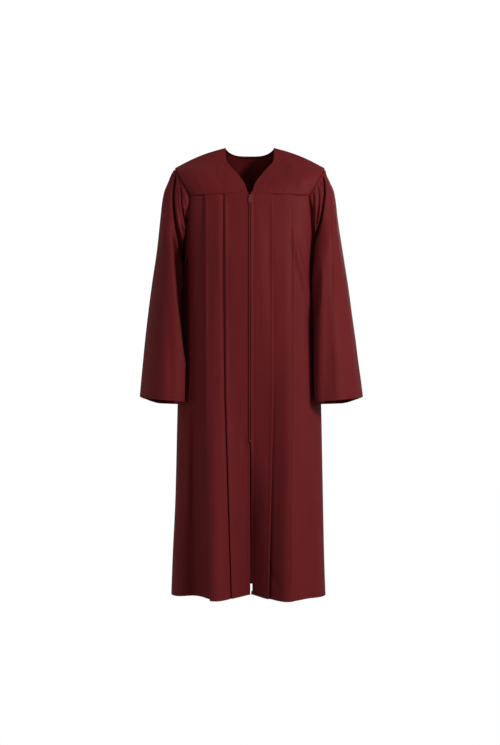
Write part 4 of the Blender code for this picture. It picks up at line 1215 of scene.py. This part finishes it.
def beads(name, centres, along, across, deep, sizes, material, sides=8, rings=4, power=1.0):
    """Many rounded bars as one mesh: half sizes along, across and deep, each with its own axes."""
    bead = [(1.0, 0.0, 0.0)]
    for ring in range(1, rings):
        t = math.pi * ring / rings
        reach = math.sin(t) ** power
        bead += [(math.cos(t), reach * math.cos(2 * math.pi * s / sides),
                  reach * math.sin(2 * math.pi * s / sides)) for s in range(sides)]
    bead = np.array(bead + [(-1.0, 0.0, 0.0)])
    faces = []
    for s in range(sides):
        t = (s + 1) % sides
        faces.append((0, 1 + s, 1 + t))
        for a in range(1, 1 + (rings - 2) * sides, sides):
            faces.append((a + s, a + sides + s, a + sides + t, a + t))
        a = 1 + (rings - 2) * sides
        faces.append((a + s, len(bead) - 1, a + t))
    axes = np.stack((along, across, deep), 1) * np.array(sizes)[:, None]
    vertices = (centres[:, None] + bead @ axes).reshape(-1, 3)
    every = [[index + i * len(bead) for index in face] for i in range(len(centres)) for face in faces]
    mesh = bpy.data.meshes.new(name)
    mesh.from_pydata(vertices.tolist(), [], every)
    return add_piece(name, mesh, material)


def build_coil(material):
    points, down, inward = zip_path(ZIP_TOP - SLIDER_LENGTH + 0.0020, ZIP_BOTTOM + STOP_HEIGHT, COIL_PITCH)
    side = np.array((1.0, 0.0, 0.0))
    half = (COIL_HALF + COIL_OVERLAP) / 2
    centres, turned = [], []
    for sign in (-1.0, 1.0):
        shift = side * sign * (COIL_HALF - half) + down * (COIL_PITCH / 4 * sign)
        centres.append(points + inward * COIL_DEPTH + shift)
        turned.append(unit(side + down * COIL_LEAN * sign))
    centres, turned, deep = (np.concatenate(part) for part in (centres, turned, (inward, inward)))
    return beads("coil", centres, turned, np.cross(deep, turned), deep,
                 (half, COIL_PITCH * 0.40, COIL_THICK), material, sides=8, rings=6, power=0.55)


def build_tape(side, sign, material):
    points, _, inward = zip_path(ZIP_TOP + 0.0034, ZIP_BOTTOM - 0.0120, 0.0024)
    grid = []
    for point, step in zip(points, inward):
        row = []
        away = TAPE_PLAY * soft((point[2] - TAPE_FOLD) / 0.0020)
        for x in TAPE_COLUMNS:
            x = max(x, away + 0.1 * x)
            fall = surface_y(x, point[2], -1) - surface_y(OPENING, point[2], -1)
            row.append(point + step * TAPE_BACK + np.array((sign * x, fall, 0.0)))
        grid.append(row if sign > 0 else row[::-1])
    return build_shell("tape_" + side, np.array(grid), TAPE_SHELL, material)


def plate(name, outlines, depth, bevel, material, resolution=2):
    """A flat plate from closed outlines (the first outside, the rest holes), bevelled all round.

    Outlines are pairs across and up; the plate's middle lies at y = 0, facing -Y.
    """
    curve = bpy.data.curves.new(name, "CURVE")
    curve.dimensions = "2D"
    curve.fill_mode = "BOTH"
    curve.extrude = depth / 2 - bevel
    curve.bevel_depth = bevel
    curve.bevel_resolution = resolution
    curve.offset = -bevel
    for outline in outlines:
        spline = curve.splines.new("POLY")
        spline.points.add(len(outline) - 1)
        for point, (a, b) in zip(spline.points, outline):
            point.co = (a, b, 0.0, 1.0)
        spline.use_cyclic_u = True
    holder = bpy.data.objects.new(name + "_curve", curve)
    bpy.context.scene.collection.objects.link(holder)
    bpy.context.view_layer.update()
    mesh = bpy.data.meshes.new_from_object(holder.evaluated_get(bpy.context.evaluated_depsgraph_get()))
    bpy.data.objects.remove(holder, do_unlink=True)
    bpy.data.curves.remove(curve)
    mesh.name = name
    mesh.transform(Matrix.Rotation(math.radians(90), 4, "X"))
    piece = add_piece(name, mesh, material)
    mesh.set_sharp_from_angle(angle=math.radians(40))
    return piece


def join_meshes(pieces):
    """Join pieces into the first, places applied."""
    target = pieces[0]
    bm = bmesh.new()
    for piece in pieces:
        mesh = piece.data.copy()
        mesh.transform(piece.matrix_basis)
        bm.from_mesh(mesh)
        bpy.data.meshes.remove(mesh)
    bm.to_mesh(target.data)
    bm.free()
    target.matrix_basis = Matrix.Identity(4)
    for piece in pieces[1:]:
        bpy.data.objects.remove(piece, do_unlink=True)
    return target


def arc(radius_a, radius_b, centre, start, end, steps):
    turns = [math.pi * lerp(start, end, i / steps) for i in range(steps + 1)]
    return [(centre[0] + radius_a * math.cos(t), centre[1] + radius_b * math.sin(t)) for t in turns]


def zip_frame(pivot):
    """Place of the slider's top on its front face, from the pull tab's pivot."""
    up = Vector((0.0, -math.sin(ZIP_TILT), math.cos(ZIP_TILT)))
    outward = Vector((0.0, -up.z, up.y))
    origin = Vector(pivot) + up * PIVOT_DROP + outward * TAB_SEAT
    return Matrix.Translation(origin) @ Matrix.Rotation(ZIP_TILT, 4, "X")


def build_slider(pivot, material):
    place = zip_frame(pivot)
    outline = arc(SLIDER_HALF_TOP, SLIDER_CROWN, (0.0, -SLIDER_CROWN), 0.0, 1.0, 20)
    outline += [(-SLIDER_HALF_MOUTH, -SLIDER_LENGTH + 0.0012)]
    outline += arc(SLIDER_HALF_MOUTH - 0.0004, 0.0009, (0.0, -SLIDER_LENGTH + 0.0009), 1.0, 2.0, 12)
    outline += [(SLIDER_HALF_MOUTH, -SLIDER_LENGTH + 0.0012)]
    parts = []

    def add(name, shape, depth, middle, bevel, resolution=2):
        part = plate(name, [shape], depth, bevel, material, resolution)
        part.location.y = middle
        parts.append(part)

    add("slider", outline, SLIDER_WALL, SLIDER_WALL / 2, 0.00028, 3)
    add("slider_back", outline, SLIDER_BACK, SLIDER_DEPTH - SLIDER_BACK / 2, 0.00028, 3)
    post = arc(0.0011, 0.0016, (0.0, -0.0030), 0.0, 2.0, 14)[:-1]
    add("post", post, SLIDER_DEPTH, SLIDER_DEPTH / 2, 0.0001)
    for sign in (-1, 1):
        rim = [(sign * x, z) for x, z in SLIDER_RIM]
        add("rim", rim[::sign], 0.0006, -0.00005, 0.00012)
    outer = arc(BRIDGE_OUTER, BRIDGE_OUTER, (TAB_SEAT, -PIVOT_DROP), 0.5, 1.5, 20)
    inner = arc(BRIDGE_INNER, BRIDGE_INNER, (TAB_SEAT, -PIVOT_DROP), 1.5, 0.5, 20)
    ring = []
    for bow in (outer, inner):
        ring += [(BRIDGE_FOOT, bow[0][1])] + bow + [(BRIDGE_FOOT, bow[-1][1])]
    add("arch", ring, 2 * BRIDGE_HALF, 0.0, 0.00025, 3)
    parts[-1].data.transform(Matrix.Rotation(math.radians(90), 4, "Z"))
    for part in parts:
        part.matrix_basis = place @ part.matrix_basis
    return join_meshes(parts)


def build_tab(pivot, material):
    top = TAB_BAR
    bottom = top - TAB_LENGTH
    shoulder = top - TAB_SHOULDER
    flank = [(TAB_NECK - 0.0004, top), (TAB_NECK, top - 0.0006),
             (TAB_NECK, shoulder + 0.0012), (TAB_HALF - 0.0001, shoulder - 0.0010)]
    other = [(-x, z) for x, z in reversed(flank)]
    round_end = arc(TAB_HALF, -TAB_HALF, (0.0, bottom + TAB_HALF), 0.0, 1.0, 24)
    outline = other[-1:] + flank + round_end + other[:-1]
    window_foot = -TAB_BAR - TAB_WINDOW_LENGTH
    window = [(-TAB_WINDOW_HALF, -TAB_BAR), (TAB_WINDOW_HALF, -TAB_BAR),
              (TAB_WINDOW_HALF, window_foot), (-TAB_WINDOW_HALF, window_foot)]
    hole = arc(GRIP_HALF, GRIP_TALL, (0.0, bottom + GRIP_RISE), 0.0, 2.0, 28)[:-1]
    tab = plate("pull_tab", [outline, window, hole], TAB_DEPTH, 0.00022, material, 3)
    tab.matrix_basis = Matrix.Translation(Vector(pivot)) @ Matrix.Rotation(ZIP_TILT, 4, "X")
    return join_meshes([tab])


def build_stop(material):
    points, _, inward = zip_path(ZIP_BOTTOM + STOP_HEIGHT, ZIP_BOTTOM, 0.001)
    outline = [(-0.0030, -0.0014), (0.0030, -0.0014), (0.0031, 0.0), (0.0030, 0.0014),
               (-0.0030, 0.0014), (-0.0031, 0.0)]
    block = plate("stop", [outline], STOP_DEPTH, 0.0005, material, 4)
    block.location = points.mean(axis=0) + inward[0] * (0.0010 - STOP_DEPTH / 2)
    return join_meshes([block])


# ---------------------------------------------------------------- stitches
STITCH_PITCH = 0.0031
STITCH_HALF = 0.00105
STITCH_THICK = 0.00017
STITCH_PROUD = 0.00006
STITCH_LOOK = 0.0005        # how far ahead and behind a stitch reads its direction


def stitch_row(line, normals):
    """Even places along a polyline with the directions along it, across it and out."""
    run = run_along(line)
    count = int(run[-1] / STITCH_PITCH)
    if count < 2:
        return []
    at = (np.arange(count) + 0.5) * run[-1] / count
    along = unit(resample(at + STITCH_LOOK, run, line) - resample(at - STITCH_LOOK, run, line))
    out = resample(at, run, normals)
    out = unit(out - along * (out * along).sum(axis=1, keepdims=True))
    return [(resample(at, run, line) + out * (SHELL / 2 + STITCH_PROUD), along, np.cross(out, along), out)]


def build_stitches(name, rows, material):
    centres, along, across, out = (np.concatenate(part) for part in zip(*rows))
    return beads(name, centres, along, across, out, (STITCH_HALF, STITCH_THICK, STITCH_THICK),
                 material, sides=5, rings=4, power=0.6)


def level_line(points, normals, distance, level, columns):
    """The polyline at a distance from a side, over some columns of a grid."""
    line, out = [], []
    for c in columns:
        track = distance[:, c]
        order = np.argsort(track)
        line.append(resample(level, track[order], points[order, c]))
        out.append(resample(level, track[order], normals[order, c]))
    return np.array(line), np.array(out)


# ---------------------------------------------------------------- materials
def wire(tree, node, inputs):
    """Give a node's inputs a value or a link from another node's output."""
    for key, value in inputs.items():
        if hasattr(value, "is_output"):
            tree.links.new(value, node.inputs[key])
        else:
            node.inputs[key].default_value = value
    return node


def put(tree, kind, inputs, **settings):
    node = tree.nodes.new(kind)
    for key, value in settings.items():
        setattr(node, key, value)
    return wire(tree, node, inputs)


def new_material(name):
    material = bpy.data.materials.new(name)
    material.use_nodes = True
    return material, material.node_tree


def stretch(tree, place, across, along):
    """Coordinates for grain that is finer one way than the other."""
    return put(tree, "ShaderNodeMapping", {"Vector": place, "Scale": (across, along, 1.0)}).outputs["Vector"]


def noise(tree, place, scale, detail, roughness=0.5, dimensions="2D"):
    return put(tree, "ShaderNodeTexNoise", {"Vector": place, "Scale": scale, "Detail": detail,
                                            "Roughness": roughness},
               noise_dimensions=dimensions).outputs["Fac"]


def math_node(tree, operation, *values):
    return put(tree, "ShaderNodeMath", dict(enumerate(values)), operation=operation).outputs[0]


def two_tone(tree, share, colour, half, grain):
    """A colour that turns from darker to lighter over the middle of a share."""
    ramp = put(tree, "ShaderNodeValToRGB", {"Fac": share})
    for element, way in zip(ramp.color_ramp.elements, (-1.0, 1.0)):
        element.position = 0.5 + way * half
        element.color = tuple(channel * (1.0 + way * grain) for channel in colour) + (1.0,)
    return ramp.outputs["Color"]


def between(tree, share, low, high):
    return put(tree, "ShaderNodeMapRange", {"Value": share, "To Min": low, "To Max": high}).outputs["Result"]


def relief(tree, height, strength, distance):
    return put(tree, "ShaderNodeBump", {"Strength": strength, "Distance": distance,
                                        "Height": height}).outputs["Normal"]


def woven(name, colour, roughness, sheen, pitch, grain):
    """Plain-woven cloth: uneven threads along its length, fine weave relief and a soft sheen."""
    material, tree = new_material(name)
    uv = put(tree, "ShaderNodeUVMap", {}, uv_map="cloth").outputs["UV"]
    streak = noise(tree, stretch(tree, uv, 420.0, 5.0), 1.0, 4.0, 0.6)
    slub = noise(tree, stretch(tree, uv, 30.0, 700.0), 1.0, 2.0)
    cloud = noise(tree, uv, 7.0, 2.0)
    mixed = 0.0
    for share, weight in ((streak, 0.62), (slub, 0.18), (cloud, 0.20)):
        mixed = math_node(tree, "MULTIPLY_ADD", share, weight, mixed)
    threads = [put(tree, "ShaderNodeTexWave",
                   {"Vector": uv, "Scale": WAVE_SCALE / pitch, "Distortion": 0.6, "Detail": 1.0,
                    "Detail Scale": 1.0},
                   wave_type="BANDS", bands_direction=axis).outputs["Fac"] for axis in "XY"]
    weave = math_node(tree, "MULTIPLY", *threads)
    height = math_node(tree, "MULTIPLY_ADD", streak, 1.2, weave)
    wire(tree, tree.nodes["Principled BSDF"], {
        "Base Color": two_tone(tree, mixed, colour, 0.16, grain),
        "Normal": relief(tree, height, 0.35, 0.00018),
        "Roughness": between(tree, slub, roughness - 0.06, roughness + 0.06),
        "Specular IOR Level": 0.10, "Sheen Weight": sheen, "Sheen Roughness": 0.42,
        "Sheen Tint": SHEEN_TINT})
    return material


def moulded(name, colour, roughness, metallic, coat, specular, scale):
    """Nylon or enamel: slight cloudiness, fine scratches in its gloss and a soft relief."""
    material, tree = new_material(name)
    place = put(tree, "ShaderNodeTexCoord", {}).outputs["Object"]
    cloud = noise(tree, place, scale, 3.0, dimensions="3D")
    fine = noise(tree, place, scale * 6, 2.0, dimensions="3D")
    wire(tree, tree.nodes["Principled BSDF"], {
        "Base Color": two_tone(tree, cloud, colour, 0.20, 0.12),
        "Normal": relief(tree, fine, 0.2, 0.00004),
        "Roughness": between(tree, fine, roughness - 0.08, roughness + 0.10),
        "Metallic": metallic, "Specular IOR Level": specular, "Coat Weight": coat,
        "Coat Roughness": 0.18})
    return material


ROBE_COLOUR = (0.134, 0.0105, 0.0123)
TAPE_COLOUR = (0.085, 0.0080, 0.0095)
COIL_COLOUR = (0.205, 0.0165, 0.0190)
PAINT_COLOUR = (0.190, 0.0200, 0.0260)
THREAD_COLOUR = (0.105, 0.0140, 0.0170)
SHEEN_TINT = (1.0, 0.40, 0.40, 1.0)
WAVE_SCALE = 0.31416        # a wave texture's scale for bands one metre apart


# ---------------------------------------------------------------- pieces
FLAT_SLACK = 0.004          # added to the longest row and the longest column
HEM_FACING = 0.25           # a hem shows its stitches where it faces out by more than this share
PLACKET_FACING = -0.3       # and a front where its normal's y is less than this
PLACKET_REACH = 0.02        # columns this near the row of stitches place it


def hem_stitches(points, level, facing):
    """Stitches along a hem, where the outer face is seen and not folded back in a pleat."""
    normals = grid_normals(points)
    distance = side_distance(points, "bottom")
    groups = []
    for c in range(points.shape[1]):
        if facing * normals[-2, c, 1] > HEM_FACING:
            if groups and c - groups[-1][-1] == 1:
                groups[-1].append(c)
            else:
                groups.append([c])
    rows = []
    for group in groups:
        if len(group) > 3:
            rows += stitch_row(*level_line(points, normals, distance, level, group))
    return rows


def placket_stitches(points, place):
    """A row of stitches down a front, beside the zip and on to the hem."""
    normals = grid_normals(points)
    line, out = [], []
    for row, facing in zip(points[2:-4], normals[2:-4]):
        order = np.argsort(row[:, 0])
        near = order[np.abs(row[order, 0] - place) < PLACKET_REACH]
        near = near[facing[near, 1] < PLACKET_FACING]
        line.append(resample(place, row[near, 0], row[near]))
        out.append(resample(place, row[near, 0], facing[near]))
    return stitch_row(np.array(line), np.array(out))


def cuff_stitches(points, outward):
    normals = grid_normals(points, True) * outward
    distance = side_distance(points, "bottom")
    level = CUFF_STITCH + CUFF_LAYER + math.pi * HEM_TURN
    columns = list(range(SLEEVE_TURNS)) + [0]
    return stitch_row(*level_line(points[:-7], normals[:-7], distance[:-7], level, columns))


def cut(name, node, points, cloth, closed=False, outward=1.0):
    """A shell as the cloth cut for its node, laid out flat to its widest and longest."""
    piece = build_shell("cloth_" + name, points, SHELL, cloth, closed, outward)
    width = float(run_along(close_rows(points, closed).swapaxes(0, 1))[-1].max()) + FLAT_SLACK
    length = float(run_along(points)[-1].max()) + FLAT_SLACK
    area = surface_area(points, closed)
    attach(piece, "robe")
    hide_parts(node)
    print("cut", piece.name, round(width, 3), round(length, 3), round(area, 4))


def build_robe(cloth, thread):
    back, back_edges = dress_back()
    back_yoke, back_yoke_edges = dress_back_yoke()
    cut("back", "back_panel", back, cloth)
    cut("yoke_back", "yoke_back", back_yoke, cloth)
    stitches = hem_stitches(back_edges, HEM_STITCH, 1)
    for side, sign, placket in (("R", -1, -ZIP_GROOVE), ("L", 1, ZIP_DIMPLE)):
        front, front_edges = dress_front(side, sign)
        yoke, yoke_edges = dress_front_yoke(side, sign)
        cut("front_" + side, "front_" + side, front, cloth)
        cut("yoke_front_" + side, "yoke_front_" + side, yoke, cloth)
        loop = armhole_loop(yoke_edges, front_edges, back_edges, back_yoke_edges, sign)
        sleeve, outward = dress_sleeve(side, sign, loop)
        cut("sleeve_" + side, "sleeve_" + side, sleeve, cloth, True, outward)
        stitches += hem_stitches(front_edges, HEM_STITCH, -1)
        stitches += placket_stitches(front_edges, placket)
        stitches += cuff_stitches(sleeve, outward)
    threads = build_stitches("stitches", stitches, thread)
    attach(threads, "robe")


def build_zip(tape, coil, paint):
    pivot = frame["record"]["behaviour"]["joints"][0]["pos_m"]
    for piece, body, node, slot in (
            (build_coil(coil), "robe", "zip_chain", "zip_coil"),
            (build_tape("R", -1, tape), "robe", "zip_tape_R", "zip_tape"),
            (build_tape("L", 1, tape), "robe", "zip_tape_L", "zip_tape"),
            (build_stop(coil), "robe", "zip_stop", "zip_coil"),
            (build_slider(pivot, paint), "robe", "zip_slider", "zip_paint"),
            (build_tab(pivot, paint), "pull_tab", "zip_pull", "zip_paint")):
        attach(piece, body)
        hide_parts(node)


# ---------------------------------------------------------------- stage, light and camera
FLOOR = -1.431
STAGE_RADIUS = 9.0
AMBIENT = 0.235

Lamp = namedtuple("Lamp", "name place target size power colour")
LAMPS = table(
    Lamp,
    ("key", (3.0, -2.6, 1.4), (0.0, 0.0, -0.5), 0.9, 118.5, (1.0, 0.98, 0.96)),
    ("side", (1.35, -0.9, -0.2), (0.24, 0.0, -0.42), 0.6, 5.4, (1.0, 0.97, 0.96)),
    ("left", (-3.2, -1.2, -0.3), (-0.2, 0.0, -0.5), 1.2, 10.0, (0.98, 0.98, 1.0)),
    ("back", (0.9, 3.6, 0.7), (0.0, 0.1, -0.5), 1.8, 46.0, (1.0, 0.99, 0.98)),
    ("fill", (-2.4, -3.0, 0.2), (0.0, 0.0, -0.6), 2.2, 13.0, (0.97, 0.98, 1.0)))


def place_object(name, data, location, rotation=(0.0, 0.0, 0.0)):
    holder = bpy.data.objects.new(name, data)
    holder.location = location
    holder.rotation_euler = rotation
    bpy.context.scene.collection.objects.link(holder)
    return holder


def build_backing(name, look, shape, level, grey, **segments):
    """A part of the stage that is evenly white or pale and casts no light of its own."""
    bm = bmesh.new()
    shape(bm, radius=STAGE_RADIUS, **segments)
    mesh = bpy.data.meshes.new(name)
    bm.to_mesh(mesh)
    bm.free()
    material, tree = new_material(look)
    tree.nodes.clear()
    light = put(tree, "ShaderNodeEmission", {"Color": (grey, grey, grey, 1.0), "Strength": 1.02})
    put(tree, "ShaderNodeOutputMaterial", {"Surface": light.outputs[0]})
    mesh.materials.append(material)
    thing = place_object(name, mesh, (0.0, 0.0, level))
    for ray in ("diffuse", "glossy", "shadow", "transmission", "volume_scatter"):
        setattr(thing, "visible_" + ray, False)


def build_lights():
    world = bpy.data.worlds.new("studio")
    world.use_nodes = True
    wire(world.node_tree, world.node_tree.nodes["Background"],
         {"Color": (1.0, 1.0, 1.0, 1.0), "Strength": AMBIENT})
    bpy.context.scene.world = world
    for lamp in LAMPS:
        light = bpy.data.lights.new(lamp.name, "AREA")
        light.shape = "DISK"
        light.size = lamp.size
        light.energy = lamp.power
        light.color = lamp.colour
        aim = Vector(lamp.target) - Vector(lamp.place)
        place_object(lamp.name, light, lamp.place, aim.to_track_quat("-Z", "Y").to_euler())


def build_camera():
    camera = bpy.data.cameras.new("camera")
    camera.lens = 84.0
    camera.sensor_width = 36.0
    camera.sensor_fit = "AUTO"
    camera.clip_end = 40.0
    place, level_view = (0.0006, -4.5, -0.5758), (math.pi / 2, 0.0, 0.0)
    bpy.context.scene.camera = place_object("camera", camera, place, level_view)


def main():
    cloth = woven("robe_cloth", ROBE_COLOUR, 0.62, 0.12, 0.00045, 0.10)
    thread = woven("thread", THREAD_COLOUR, 0.50, 0.20, 0.00030, 0.06)
    tape = woven("zip_tape", TAPE_COLOUR, 0.70, 0.20, 0.00060, 0.08)
    coil = moulded("zip_coil", COIL_COLOUR, 0.55, 0.0, 0.0, 0.15, 900.0)
    paint = moulded("zip_paint", PAINT_COLOUR, 0.36, 0.0, 0.15, 0.4, 700.0)
    build_robe(cloth, thread)
    build_zip(tape, coil, paint)
    build_backing("floor", "pale_floor", bmesh.ops.create_circle, FLOOR, 0.98, cap_ends=True, segments=96)
    build_backing("backdrop", "white_backdrop", bmesh.ops.create_uvsphere, 0.0, 1.0, u_segments=48,
                  v_segments=24)
    build_lights()
    build_camera()
    bpy.context.scene.view_settings.view_transform = "Standard"


main()
